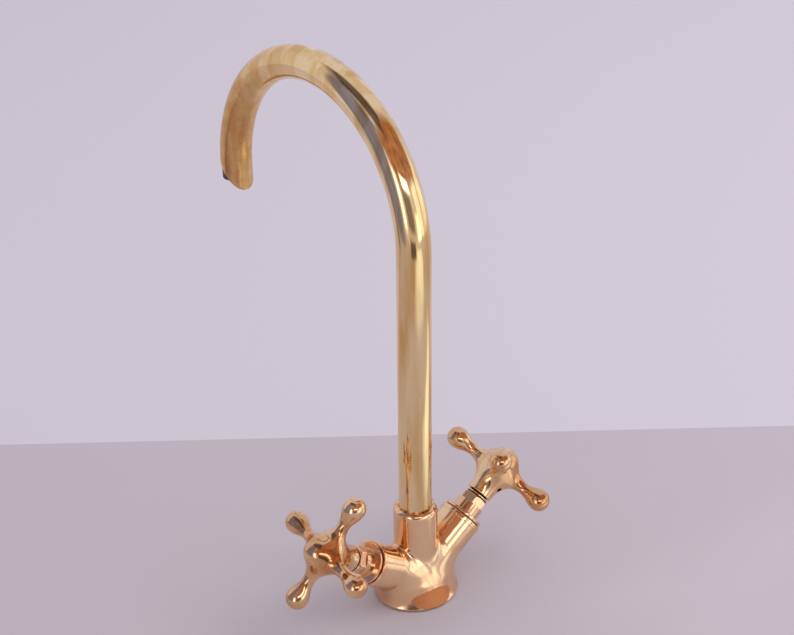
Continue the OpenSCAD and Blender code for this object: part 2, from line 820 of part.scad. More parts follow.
// Handle in the branch's frame, with its first arm at the given turn from +Y
module cross_handle(turn) {
    grub_bore_r = grub_d / 2 + seat_fit;
    hub = [for (i = [0 : curve_steps])
        cubic([skirt_r, cross_u - hub_low], [hub_r, cross_u - hub_curve[0]],
            [hub_r - hub_lean, cross_u + hub_curve[1]], [nose_r, cross_u + nose_h],
            i / curve_steps)];
    color(brass)
        difference() {
            union() {
                rotate_extrude()
                    polygon(concat([[0, skirt_u], [skirt_r, skirt_u]], hub, [[0, cross_u + nose_h]]));
                translate([0, 0, cross_u + nose_h])
                    sphere(r = nose_r);
                for (quarter = [0, 90])
                    translate([0, 0, cross_u])
                        rotate([0, 0, turn + quarter])
                            arm_pair();
            }
            bar(skirt_r - skirt_wall, skirt_u - past, skirt_u + skirt_recess);
            translate([0, 0, skirt_u])
                cylinder(r = spline_d / 2 + seat_fit, h = spline_top_u + seat_fit - skirt_u, $fn = 12);
            rotate([0, 0, turn + grub_turn])
                translate([0, 0, skirt_u + grub_u])
                    rotate([-90, 0, 0])
                        cylinder(r = grub_bore_r, h = skirt_r + past);
        }
}

// Headless screw through the skirt, ending on the spindle's spline
module grub_screw(turn) {
    from_r = spline_d / 2 + seat_fit;
    to_r = skirt_r - grub_sink;
    color(steel)
        rotate([0, 0, turn + grub_turn])
            translate([0, 0, skirt_u + grub_u])
                rotate([-90, 0, 0])
                    difference() {
                        bar(grub_d / 2, from_r, to_r);
                        translate([0, 0, to_r - key_depth])
                            cylinder(r = grub_key / 2 / cos(30), h = key_depth + past, $fn = 6);
                    }
}

module hot_bonnet() { on_branch(hot_side) bonnet(hot_hex_turn); }
module hot_bonnet_gasket() { on_branch(hot_side) bonnet_gasket(); }
module hot_gland_nut() { on_branch(hot_side) gland_nut(); }
module hot_gland_packing() { on_branch(hot_side) gland_packing(); }
module hot_spindle() { on_branch(hot_side) spindle(); }
module hot_spindle_o_rings() { on_branch(hot_side) spindle_o_rings(); }
module hot_valve_carrier() { on_branch(hot_side) valve_carrier(); }
module hot_valve_washer() { on_branch(hot_side) valve_washer(); }
module hot_washer_screw() { on_branch(hot_side) washer_screw(); }
module hot_handle() { on_branch(hot_side) cross_handle(hot_turn); }
module hot_grub_screw() { on_branch(hot_side) grub_screw(hot_turn); }

module cold_bonnet() { on_branch(cold_side) bonnet(cold_hex_turn); }
module cold_bonnet_gasket() { on_branch(cold_side) bonnet_gasket(); }
module cold_gland_nut() { on_branch(cold_side) gland_nut(); }
module cold_gland_packing() { on_branch(cold_side) gland_packing(); }
module cold_spindle() { on_branch(cold_side) spindle(); }
module cold_spindle_o_rings() { on_branch(cold_side) spindle_o_rings(); }
module cold_valve_carrier() { on_branch(cold_side) valve_carrier(); }
module cold_valve_washer() { on_branch(cold_side) valve_washer(); }
module cold_washer_screw() { on_branch(cold_side) washer_screw(); }
module cold_handle() { on_branch(cold_side) cross_handle(cold_turn); }
module cold_grub_screw() { on_branch(cold_side) grub_screw(cold_turn); }

body();
base_gasket();
spout_tube();
spout_spigot();
spout_o_rings();
spout_thrust_ring();
spout_retaining_screw();
aerator_housing();
flow_straightener();
aerator_screen();
hot_bonnet();
hot_bonnet_gasket();
hot_gland_nut();
hot_gland_packing();
hot_spindle();
hot_spindle_o_rings();
hot_valve_carrier();
hot_valve_washer();
hot_washer_screw();
hot_handle();
hot_grub_screw();
cold_bonnet();
cold_bonnet_gasket();
cold_gland_nut();
cold_gland_packing();
cold_spindle();
cold_spindle_o_rings();
cold_valve_carrier();
cold_valve_washer();
cold_washer_screw();
cold_handle();
cold_grub_screw();
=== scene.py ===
"""Two-handle gooseneck kitchen tap in polished, unlacquered brass, on a pale worktop.

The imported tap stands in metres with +Z up and its spout along -Y. Every new piece is a surface
worked out with numpy in that same frame, and replaces the plain solid of the same name.
"""

import json
import math
from functools import partial

import bmesh
import bpy
import numpy as np
from mathutils import Matrix, Vector


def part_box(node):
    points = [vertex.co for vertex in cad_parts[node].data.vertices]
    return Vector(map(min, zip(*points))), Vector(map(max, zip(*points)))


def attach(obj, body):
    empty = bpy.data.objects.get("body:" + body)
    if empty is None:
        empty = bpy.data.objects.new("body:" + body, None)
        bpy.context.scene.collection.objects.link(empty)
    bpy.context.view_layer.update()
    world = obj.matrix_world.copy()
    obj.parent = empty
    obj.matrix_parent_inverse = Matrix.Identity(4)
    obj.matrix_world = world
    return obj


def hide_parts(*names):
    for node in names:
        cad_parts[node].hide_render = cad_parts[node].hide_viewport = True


bl_info = {
    "name": "Gooseneck Kitchen Tap",
    "version": (1, 0, 0),
    "blender": (4, 5, 0),
    "location": "View3D > Sidebar > Tap",
    "description": "Builds the pieces and finishes of a two-handle brass kitchen tap",
    "category": "Object",
}

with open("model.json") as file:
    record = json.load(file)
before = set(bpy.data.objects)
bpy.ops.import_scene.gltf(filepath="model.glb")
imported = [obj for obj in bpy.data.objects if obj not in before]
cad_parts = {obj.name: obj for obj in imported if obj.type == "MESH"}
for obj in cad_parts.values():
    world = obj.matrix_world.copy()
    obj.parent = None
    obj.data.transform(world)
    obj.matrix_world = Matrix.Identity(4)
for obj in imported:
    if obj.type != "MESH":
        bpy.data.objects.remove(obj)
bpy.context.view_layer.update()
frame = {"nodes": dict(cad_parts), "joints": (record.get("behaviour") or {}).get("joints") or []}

MM = 0.001
WELD = 0.5e-6
X, Y, Z = np.eye(3)
SIDES = {"hot": -1, "cold": 1}

TUBE_LOW, TUBE_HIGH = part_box("spout_tube")
BODY_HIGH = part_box("body")[1]
JOINTS = {joint["name"]: joint for joint in frame["joints"]}
BRANCH_AXIS = JOINTS["cold_handle_turn"]["axis"]
BRANCH_H = JOINTS["cold_handle_turn"]["pos_m"][2]
TUBE_D = TUBE_HIGH.x - TUBE_LOW.x
BEND_R = (TUBE_HIGH.y - TUBE_LOW.y - TUBE_D) / 2


def length(name, text, millimetres):
    """A size in metres whose default is given in millimetres."""
    return bpy.props.FloatProperty(
        name=name, description=text, default=millimetres * MM, unit="LENGTH", precision=5
    )


def angle(name, text, degrees):
    """An angle in radians whose default is given in degrees."""
    return bpy.props.FloatProperty(
        name=name, description=text, default=math.radians(degrees), subtype="ANGLE"
    )


def count(name, text, value):
    """A whole number of rows or columns of a surface."""
    return bpy.props.IntProperty(name=name, description=text, default=value, min=3)


def colour(name, text, value):
    """A colour written as an sRGB hex value."""
    return bpy.props.StringProperty(name=name, description=text, default=value)


class SpoutSizes(bpy.types.PropertyGroup):
    """Sizes of the swan-neck tube and of the aerator in its tip."""

    tube_d: length("Tube diameter", "Outer diameter of the spout tube", TUBE_D / MM)
    tube_wall: length("Tube wall", "Wall of the spout tube", 1)
    low_h: length("Lower end", "Height of the tube's lower end", TUBE_LOW.z / MM)
    bend_r: length("Bend radius", "Radius of the half circle at mid tube", BEND_R / MM)
    bend_h: length("Bend height", "Where the riser ends", (TUBE_HIGH.z - BEND_R - TUBE_D / 2) / MM)
    tip_drop: length("Tip drop", "From the bend's end down to the middle of the cut", 4)
    tip_angle: angle("Tip angle", "Angle of the slanted cut to the horizontal", 50.5)
    lip_r: length("Lip rounding", "Rounding of the cut's edge", 0.45)
    housing_end_h: length("Housing end", "Height of the aerator housing's level end", 241.5)
    housing_r: length("Housing radius", "Outer radius of the aerator housing", 9.96)
    housing_bore_r: length("Housing bore", "Radius of the housing's bore", 8.11)
    ledge_bore_r: length("Ledge bore", "Radius of the bore above the ledge", 7.11)
    ledge_h: length("Ledge height", "Height of the ledge the inserts rest on", 245.58)
    housing_arc: angle("Housing arc", "Part of the bend that the housing fills", 8)
    rows: count("Rows", "Rows of faces along the tube", 420)
    columns: count("Columns", "Columns of faces round the tube", 112)


class BodySizes(bpy.types.PropertyGroup):
    """Sizes of the cast base with its collar and two branches."""

    base_r: length("Base radius", "Radius of the bell's curve at the foot", 27.5)
    foot_r: length("Foot radius", "Radius of the flat foot", 26)
    edge_h: length("Edge height", "Height at which the bell's curve starts", 1.5)
    bell_h: length("Bell height", "Height at which the bell meets the collar", 46.3)
    collar_r: length("Collar radius", "Radius of the spout's collar", 14.75)
    collar_h: length("Collar height", "Height at which the collar's shoulder starts", 63.8)
    mouth_r: length("Mouth radius", "Outer radius at the top of the shoulder", 12.25)
    mouth_h: length("Mouth height", "Height of the collar's mouth", BODY_HIGH.z / MM)
    socket_r: length("Socket radius", "Bore that the spout stands in", 11.05)
    socket_h: length("Socket floor", "Height of the socket's floor", 41)
    well_r: length("Well radius", "Bore of the well under the spout", 7)
    well_h: length("Well floor", "Height of the well's floor", 12.5)
    foot_pull: length("Foot curve", "Upward reach of the bell's curve at the foot", 14)
    foot_in: length("Foot lean", "Inward reach of the bell's curve at the foot", 11.8)
    collar_pull: length("Collar curve", "Downward reach of the bell's curve at the collar", 30)
    waist: length("Waist", "Inward reach of the bell's curve below the collar", 0.9)
    branch_r: length("Branch radius", "Radius of a branch", 14.8)
    branch_len: length("Branch length", "From the body's axis to a branch's end face", 50.5)
    bead_r: length("Bead radius", "Radius of the bead round a branch's end", 15.2)
    bead_w: length("Bead width", "Width of that bead", 3.2)
    low_blend: length("Low blend", "Width of the bell's rounded joint with a branch near the foot", 19)
    high_blend: length("High blend", "Width of that joint beside the collar", 3.7)
    blend_low_h: length("Blend start", "Height from which the joint narrows", 15)
    blend_high_h: length("Blend end", "Height at which the joint is narrowest", 40)
    thread_bore_r: length("Thread bore", "Bore of a branch's thread", 10.19)
    thread_u: length("Thread end", "Where the thread's bore ends along the branch", 34.5)
    chamber_r: length("Chamber radius", "Radius of a valve chamber", 9.4)
    chamber_u: length("Chamber floor", "Where the chamber's floor is along the branch", 24)
    seat_r: length("Seat radius", "Outer radius of the valve seat's ring", 6)
    seat_bore_r: length("Seat bore", "Bore of the valve seat", 4.2)
    groove_out_r: length("Groove outside", "Outer radius of the gasket's groove", 24.54)
    groove_in_r: length("Groove inside", "Inner radius of the gasket's groove", 21.06)
    groove_h: length("Groove depth", "Depth of the gasket's groove", 2.14)
    inlet_r: length("Inlet radius", "Core radius of an inlet's thread", 4.5)
    inlet_depth: length("Inlet depth", "Depth of the inlets", 12)
    inlet_x: length("Inlet aside", "Distance of an inlet beside the axis", 10)
    inlet_y: length("Inlet ahead", "Distance of the inlets ahead of the axis", 8)
    stud_r: length("Stud radius", "Core radius of the fixing stud's hole", 3.4)
    stud_depth: length("Stud depth", "Depth of the stud's hole", 10)
    stud_y: length("Stud behind", "Distance of the stud's hole behind the axis", 12)
    screw_turn: angle("Screw turn", "Direction of the retaining screw from +X", 122)
    screw_tilt: angle("Screw tilt", "Angle of the retaining screw above the level", 45)
    screw_r: length("Screw radius", "Radius of the retaining screw's shank", 1.45)
    screw_head_r: length("Screw head", "Radius of the screw's rounded head", 2)
    screw_head_h: length("Screw head height", "Height of the screw's head", 1.1)
    screw_len: length("Screw length", "Length of the shank below the shoulder", 5.2)
    rows: count("Rows", "Rows of faces from the bell to a branch's end", 150)
    collar_columns: count("Collar columns", "Columns in a quarter of the collar", 26)
    seam_columns: count("Seam columns", "Columns down the bell's side", 32)
    foot_columns: count("Foot columns", "Columns in a quarter of the foot", 30)


class HeadworkSizes(bpy.types.PropertyGroup):
    """Sizes of the bonnets and gland nuts, as distances u along a branch and radii about it."""

    thread_r: length("Thread radius", "Radius of a bonnet's thread", 10.15)
    barrel_u: length("Barrel start", "Inner end of the bonnet", 36.5)
    flange_u: length("Flange start", "Under face of the flange", 51.3)
    flange_r: length("Flange radius", "Radius of the flange", 13.9)
    stage_u: length("Stage start", "Top face of the flange", 53.3)
    stage_r: length("Stage radius", "Radius of the round stage", 9.5)
    hex_u: length("Hexagon start", "Lower end of the hexagon", 61)
    hex_flat_r: length("Hexagon flat", "Half the size across the flats", 8.5)
    hex_top_u: length("Hexagon top", "Upper end of the hexagon", 67)
    hex_chamfer: length("Chamfer", "Height of the hexagon's chamfer", 1.3)
    guide_r: length("Guide", "Half the hexagonal guide's size across its flats", 6.05)
    guide_top_u: length("Guide top", "Upper end of the guide", 47.92)
    pocket_r: length("Pocket radius", "Radius of the pocket for the spindle's flange", 5.95)
    pocket_top_u: length("Pocket top", "Upper end of that pocket", 50.27)
    journal_r: length("Journal bore", "Bore for the spindle's journal", 4.55)
    packing_u: length("Packing seat", "Floor of the gland's bore", 60.52)
    gland_bore_r: length("Gland bore", "Bore of the gland nut's thread", 6.64)
    gland_r: length("Gland thread", "Radius of the gland nut's thread", 6.6)
    gland_u: length("Gland start", "Inner end of the gland nut", 62.6)
    neck_r: length("Gland neck", "Radius of the gland nut's neck", 7)
    rim_u: length("Rim start", "Where the gland nut's rim starts", 67.7)
    rim_r: length("Rim radius", "Radius of that rim", 8)
    boss_u: length("Boss start", "Where the gland nut's boss starts", 68.75)
    boss_r: length("Boss radius", "Radius of that boss", 6.2)
    top_u: length("Gland top", "Upper end of the gland nut", 70.6)
    hot_turn: angle("Hot hexagon", "Turn of the hot hexagon's flat from +Y", 337)
    cold_turn: angle("Cold hexagon", "Turn of the cold hexagon's flat from +Y", 30)
    edge_r: length("Edge rounding", "Rounding of turned edges", 0.35)
    columns: count("Columns", "Columns of faces round the branch", 144)


class HandleSizes(bpy.types.PropertyGroup):
    """Sizes of a four-armed cross handle, measured from the middle of its arms."""

    cross_u: length("Arms", "Distance of the arms' middle along the branch", 91.5)
    skirt_len: length("Skirt length", "From the arms' middle down to the skirt's rim", 21.7)
    skirt_r: length("Skirt radius", "Radius of the skirt", 9.1)
    rim_r: length("Rim rounding", "Rounding of the skirt's rim", 0.5)
    recess_r: length("Recess radius", "Radius of the recess in the skirt", 7.4)
    recess_h: length("Recess depth", "Depth of that recess", 4.7)
    socket_r: length("Spline socket", "Corner radius of the twelve-sided socket", 3.94)
    socket_h: length("Spline depth", "Where the socket ends below the arms' middle", 7.5)
    nose_r: length("Nose radius", "Radius of the domed nose", 6.6)
    nose_h: length("Nose height", "Height of the dome's centre above the arms", 8.8)
    swell_h: length("Swell start", "Depth below the arms at which the hub narrows", 6)
    arm_r: length("Arm length", "From the axis to the centre of an arm's ball", 35)
    ball_r: length("Ball radius", "Radius of an arm's ball", 6.7)
    neck_r: length("Neck radius", "Radius of an arm's neck", 4.05)
    ball_blend: length("Ball blend", "Width of the rounded joint of arm and ball", 7.9)
    low_blend: length("Lower blend", "Width of the hub's rounded joint below the arms", 13.8)
    high_blend: length("Upper blend", "Width of the hub's rounded joint above the arms", 15.5)
    hot_turn: angle("Hot turn", "Turn of the hot handle's first arm from +Y", 215)
    cold_turn: angle("Cold turn", "Turn of the cold handle's first arm from +Y", 81.7)
    grub_turn: angle("Grub turn", "Turn of the grub screw from the first arm", 157.2)
    grub_u: length("Grub place", "Distance of the grub screw from the skirt's rim", 10)
    grub_r: length("Grub radius", "Radius of the grub screw's hole", 1.49)
    rows: count("Rows", "Rows of faces along an arm", 120)
    half_columns: count("Half columns", "Columns of faces round half an arm", 48)


class FinishColours(bpy.types.PropertyGroup):
    """Colours of the finishes, as sRGB hex values."""

    drawn: colour("Drawn brass", "Clean polished brass tube", "#FBE2AF")
    drawn_warm: colour("Warm tube", "Slightly tarnished tube", "#E6BE7C")
    tarnish: colour("Tarnish", "Olive brown of handled brass", "#CE9A4E")
    tarnish_red: colour("Red tarnish", "Orange brown patches near the tip", "#D08643")
    cast: colour("Cast brass", "Polished casting", "#FAD5A8")
    cast_copper: colour("Copper blush", "Pinkish areas of the casting", "#F3BD92")
    buffed: colour("Buffed brass", "Buffed handles", "#F3CFA0")
    buffed_warm: colour("Warm brass", "Orange tint in the handles' hollows", "#D59A66")
    turned: colour("Turned brass", "Bonnets and gland nuts", "#EFC8A0")
    machined: colour("Machined brass", "Inner brass, dull from water", "#D8B56C")
    # Tone of a painted reflection, the copper-red oval low on the casting's front; also the retaining
    # screw's own brass.
    copper_and_painted_reflection: colour("Copper", "Red patch low on the casting, where zinc has leached out", "#DA9A74")
    # Painted shade: this black darkens the headwork's grooves and the grub screws' holes, where shade
    # falls.
    residue: colour("Residue", "Black residue in grooves and grub screws' holes", "#1C1511")
    grime: colour("Grime", "Polish residue in joints", "#6E4226")
    plastic: colour("Black plastic", "Aerator housing", "#17171A")
    acetal: colour("White acetal", "Straightener and thrust ring", "#E9E7DE")
    steel: colour("Stainless steel", "Screen in the aerator", "#C9CACB")
    oxide: colour("Black oxide", "Blackened steel of the grub screws", "#1F1C1A")
    rubber: colour("Black rubber", "Seals", "#1E1E20")
    fibre: colour("Red fibre", "Gaskets under the bonnets", "#5A2A1C")


class StageSizes(bpy.types.PropertyGroup):
    """Camera, worktop, wall and reflection cards."""

    lens: bpy.props.FloatProperty(name="Lens", description="Focal length in mm", default=73.156)
    camera_x: length("Camera X", "Camera's place", 562.285)
    camera_y: length("Camera Y", "Camera's place", 674.26)
    camera_z: length("Camera Z", "Camera's place", 687.812)
    yaw: angle("Yaw", "Turn of the view from +Y towards +X", -140.867)
    pitch: angle("Pitch", "Angle of the view below the level", 28.619)
    roll: angle("Roll", "Turn about the view's own direction", -0.659)
    floor_front: length("Worktop front", "From the tap to the worktop's front edge", 800)
    floor_side: length("Worktop side", "From the tap to the worktop's side edges", 1300)
    floor_back: length("Floor back", "From the tap to the end of what lies behind", 3000)
    wall_behind: length("Wall", "Distance of the wall's foot behind the tap", 190.2)
    wall_turn: angle("Wall turn", "Direction of the wall from +Y towards +X", -142.2)
    floor_colour: colour("Floor colour", "Mauve grey worktop", "#BFB5BD")
    wall_colour: colour("Wall colour", "Pale lavender wall", "#CEC7D1")
    room_colour: colour("Room", "Even tone of the studio in reflections", "#DAD6E1")
    white_card: colour("White cards", "Bright cards beside the camera", "#FFFFFF")
    pale_card: colour("Pale card", "Cool card opposite the camera", "#D3D5F6")
    blue_card: colour("Blue card", "Dim cool card beside the spout", "#8484AA")
    brown_card: colour("Brown card", "Terracotta card above the camera", "#A67762")
    dark_card: colour("Dark card", "Dark card above the tap", "#5E5458")
    middle_card: colour("Middle card", "Grey brown card behind the camera", "#A19391")


def linear(code, share=1.0):
    """Linear red, green, blue and alpha of an sRGB hex value, darkened to a share of its light."""
    value = np.array([int(code[i : i + 2], 16) for i in (1, 3, 5)]) / 255
    curve = np.where(value <= 0.04045, value / 12.92, ((value + 0.055) / 1.055) ** 2.4)
    return (*(share * curve).tolist(), 1.0)


def smooth_step(value, low, high):
    """0 up to low, 1 from high, and 3t^2 - 2t^3 of the share t between them."""
    t = np.clip((value - low) / (high - low), 0, 1)
    return t * t * (3 - 2 * t)


def smooth_min(a, b, width):
    """The lesser of a and b, less a parabola's cap where they differ by less than width."""
    cap = np.clip(1 - np.abs(a - b) / width, 0, None)
    return np.minimum(a, b) - cap * cap * width / 4


def first_exit(field, origins, directions, reach, steps=70, halvings=26):
    """Points where rays first leave a solid whose field is negative inside.

    Each ray is walked in equal steps until the field turns positive, and that step is halved.
    """
    step = reach / steps
    inner = np.zeros(origins.shape[:-1])
    outside = np.zeros(origins.shape[:-1], bool)
    for k in range(1, steps + 1):
        crossed = field(origins + directions * (k * step)) > 0
        inner = np.where(crossed & ~outside, (k - 1) * step, inner)
        outside |= crossed
    outer = inner + step
    for _ in range(halvings):
        middle = (inner + outer) / 2
        beyond = field(origins + directions * middle[..., None]) > 0
        outer = np.where(beyond, middle, outer)
        inner = np.where(beyond, inner, middle)
    return origins + directions * inner[..., None]


def evenly(points, values, rows):
    """Values of a grid's rows at even lengths along each of its columns.

    Lengths are summed down every column and scaled to 1, and all columns are read by one
    interpolation, each moved aside by its own offset.
    """
    steps = np.linalg.norm(np.diff(points, axis=0), axis=-1)
    along = np.concatenate([np.zeros((1, steps.shape[1])), np.cumsum(steps, axis=0)])
    along /= along[-1]
    offset = 2.0 * np.arange(points.shape[1])
    wanted = np.linspace(0, 1, rows)[:, None] + offset
    read = np.interp(wanted.T.ravel(), (along + offset).T.ravel(), values.T.ravel())
    return read.reshape(points.shape[1], rows).T


def rounded_profile(corners, radius, steps=5):
    """A profile with each inner corner replaced by a parabola that starts radius before it."""
    corners = np.array(corners, float)
    share = np.linspace(0, 1, steps)[:, None]
    pieces = [corners[:1]]
    for before, corner, after in zip(corners[:-2], corners[1:-1], corners[2:]):
        back = before - corner
        on = after - corner
        start = corner + back * min(radius / np.linalg.norm(back), 0.5)
        end = corner + on * min(radius / np.linalg.norm(on), 0.5)
        pieces.append(start * (1 - share) ** 2 + 2 * corner * share * (1 - share) + end * share**2)
    return np.concatenate(pieces + [corners[-1:]])


def stepped(radii, heights):
    """A profile of steps: each radius holds from its own height to the next one."""
    return [[r, h] for r, *ends in zip(radii, heights, heights[1:]) for h in ends]


def around(radius, height, angles):
    """Points at a radius, height and angle about Z, which numpy stretches to one shape."""
    radius, height, angles = np.broadcast_arrays(radius, height, angles)
    return np.stack([radius * np.cos(angles), radius * np.sin(angles), height], -1)


def lathe(profile, angles, factor=1.0):
    """A profile of radius and height turned about Z: a ring of points for each profile point."""
    return around(profile[:, :1] * factor, profile[:, 1:], angles)


def turns(columns):
    """Angles of that many even steps round a circle."""
    return np.arange(columns) * 2 * math.pi / columns


def spun(points, turn):
    """Points turned about Z."""
    c, s = math.cos(turn), math.sin(turn)
    return points @ np.array([[c, s, 0], [-s, c, 0], [0, 0, 1]])


def polygon_radius(angles, sides, flat_r, first_flat=0.0, sharpness=60):
    """Radius of a regular polygon with slightly rounded corners.

    The share of each flat's normal in a direction is raised to a high power and summed: the
    nearest flat wins, and two near a corner round it.
    """
    normals = first_flat + turns(sides)
    shares = np.clip(np.cos(angles[:, None] - normals), 0, None)
    return flat_r / np.sum(shares**sharpness, axis=1) ** (1 / sharpness)


def on_branch(points, side):
    """Points given as along +Y, across and along a branch, moved to the branch of that side."""
    axis = np.array([side * BRANCH_AXIS[0], 0, BRANCH_AXIS[2]])
    across = np.cross(axis, Y)
    return points @ np.stack([Y, across, axis]) + BRANCH_H * Z


def grid_faces(rows, columns, close_rows):
    """Corner numbers of the quads between neighbouring rows and columns of a grid.

    The last column meets the first, and the last row does if the rows are closed.
    """
    i = np.arange(rows if close_rows else rows - 1)[:, None]
    j = np.arange(columns)[None, :]
    next_i = (i + 1) % rows
    next_j = (j + 1) % columns
    corners = [i * columns + j, i * columns + next_j, next_i * columns + next_j, next_i * columns + j]
    return np.stack(corners, -1).reshape(-1, 4)


def make_piece(name, grids, sharp=38, close_rows=False):
    """One welded mesh object from grids of points, closed round their columns.

    Doubles are merged, which closes seams and poles, and the faces are then turned outwards.
    Edges that turn by more than sharp, in degrees, stay sharp.
    """
    faces = []
    total = 0
    for grid in grids:
        rows, columns = grid.shape[:2]
        faces.append(grid_faces(rows, columns, close_rows) + total)
        total += rows * columns
    points = np.concatenate([grid.reshape(-1, 3) for grid in grids])
    mesh = bpy.data.meshes.new(name)
    mesh.from_pydata(points, [], np.concatenate(faces))
    tidy = bmesh.new()
    tidy.from_mesh(mesh)
    bmesh.ops.remove_doubles(tidy, verts=tidy.verts, dist=WELD)
    bmesh.ops.recalc_face_normals(tidy, faces=tidy.faces)
    tidy.to_mesh(mesh)
    tidy.free()
    mesh.shade_smooth()
    mesh.set_sharp_from_angle(angle=math.radians(sharp))
    piece = bpy.data.objects.new(name, mesh)
    bpy.context.scene.collection.objects.link(piece)
    return piece


def cut_out(piece, cutters):
    """Takes the cutters' solids out of a piece by Boolean and deletes them."""
    for cutter in cutters:
        modifier = piece.modifiers.new("cut", "BOOLEAN")
        modifier.object = cutter
        modifier.operation = "DIFFERENCE"
        modifier.solver = "EXACT"
    evaluated = piece.evaluated_get(bpy.context.evaluated_depsgraph_get())
    cut = bpy.data.meshes.new_from_object(evaluated)
    cut.name = piece.name
    piece.modifiers.clear()
    piece.data = cut
    for cutter in cutters:
        bpy.data.objects.remove(cutter)


def bar(name, radius, low, high, place, columns=48):
    """A closed round bar from low to high on its own Z, put in place by a function of points."""
    profile = np.array([[0, low], [radius, low], [radius, high], [0, high]])
    return make_piece(name, [place(lathe(profile, turns(columns)))])


def dress(piece, body, slot, finish_name, *nodes):
    """Gives a new piece its finish and body, and hides the nodes that it stands for. Its slot is not
    used.
    """
    piece.data.materials.clear()
    piece.data.materials.append(finish(finish_name))
    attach(piece, body)
    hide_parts(*nodes)


def arm_points(size, origins, directions):
    """Points of a handle's surface on rays that start inside it."""
    reach = 30 * MM
    widening = 4 * MM

    def arm(along, off):
        """A round bar up to its ball's centre, smoothly joined to the ball."""
        ball_gap = np.hypot(along - size.arm_r, off)
        stem = np.where(along > size.arm_r, ball_gap, off) - size.neck_r
        return smooth_min(stem, ball_gap - size.ball_r, size.ball_blend)

    def field(points):
        """Hub and crossed arms, joined more widely above the arms than below them."""
        x, y, z = np.moveaxis(points, -1, 0)
        swell = smooth_step(z, -size.swell_h, size.nose_h)
        hub_r = size.skirt_r + (size.nose_r - size.skirt_r) * swell
        hub = np.hypot(np.hypot(x, y), z - np.clip(z, None, size.nose_h)) - hub_r
        above = smooth_step(z, -widening, widening)
        width = size.low_blend + (size.high_blend - size.low_blend) * above
        arms = smooth_min(arm(np.abs(x), np.hypot(y, z)), arm(np.abs(y), np.hypot(x, z)), width)
        return smooth_min(hub, arms, width)

    return first_exit(field, origins, directions, reach)


def quarter_handle(size):
    """A quarter of a cross handle about its +X arm, as rows from the quarter's edge to the tip.

    Each column is a half-plane through the X axis. Rays fan out from the handle's centre, first
    from the quarter's edge to a narrow cone, then their origin slides along the arm to the
    ball's centre while they open to a right angle and close again on the tip. Also tells which
    columns start on the skirt's rim.
    """
    side_share = 0.84
    trial_rows = 400
    cone = math.radians(32)
    slide_share = 0.52
    slide_power = 1.15
    opening = 1.6
    tiny = 1e-9

    rim_angle = math.atan(size.skirt_r / (size.skirt_len - size.rim_r))
    corner = math.pi - math.atan(math.tan(rim_angle) / math.sqrt(2))
    side_columns = int(size.half_columns * side_share)
    side = np.linspace(0, corner, side_columns, endpoint=False)
    under = np.linspace(corner, math.pi, size.half_columns - side_columns + 1)
    half = np.concatenate([side, under])
    theta = np.concatenate([-half[:0:-1], half[:-1]])
    sine, cosine = np.sin(theta), np.cos(theta)
    flank = np.arctan2(1, np.abs(sine))
    share = math.cos(rim_angle) / np.maximum(-cosine, tiny)
    below = np.where(share < 1, np.arcsin(np.clip(share, 0, 1)), math.pi)
    limit = np.minimum(flank, below)

    fan = np.linspace(0, 1, trial_rows // 2, endpoint=False)[:, None]
    slide = np.linspace(0, 1, trial_rows // 2)[:, None] * np.ones_like(theta)
    move = np.clip(slide / slide_share, 0, 1)
    open_up = cone + (math.pi / 2 - cone) * np.clip(move * opening, 0, 1)
    close_down = math.pi / 2 * (1 - np.clip((slide - slide_share) / (1 - slide_share), 0, 1))
    tilt = np.concatenate([
        limit + (cone - limit) * fan,
        np.where(slide < slide_share, open_up, close_down),
    ])
    start = np.concatenate([fan * 0 * theta, size.arm_r * move**slide_power])

    def place(start, tilt):
        """Surface points of rays at a tilt from the arm's axis, from a start along it."""
        rays = np.stack([np.cos(tilt), -np.sin(tilt) * sine, np.sin(tilt) * cosine], -1)
        return arm_points(size, np.stack([start, 0 * start, 0 * start], -1), rays)

    order = np.arange(len(start))[:, None] * np.ones_like(theta)
    row = evenly(place(start, tilt), order, size.rows)
    low = np.clip(np.floor(row).astype(int), 0, len(start) - 2)
    part = row - low
    column = np.arange(len(theta))[None, :]

    def read(table):
        """Values of a table between its rows, at the evenly spaced places."""
        return table[low, column] * (1 - part) + table[low + 1, column] * part

    return place(read(start), read(tilt)), np.abs(theta) >= corner - tiny


def on_handle(points, size, side, turn):
    """From the handle's frame, arms in its level plane, to the branch."""
    return on_branch(spun(points, turn) + size.cross_u * Z, side)


def on_grub(points, size, side, turn):
    """From a bar's own Z to the grub screw's axis, square to the handle's."""
    out = spun(X, size.grub_turn)
    local = points @ np.stack([np.cross(out, Z), Z, out]) + (size.grub_u - size.skirt_len) * Z
    return on_handle(local, size, side, turn)


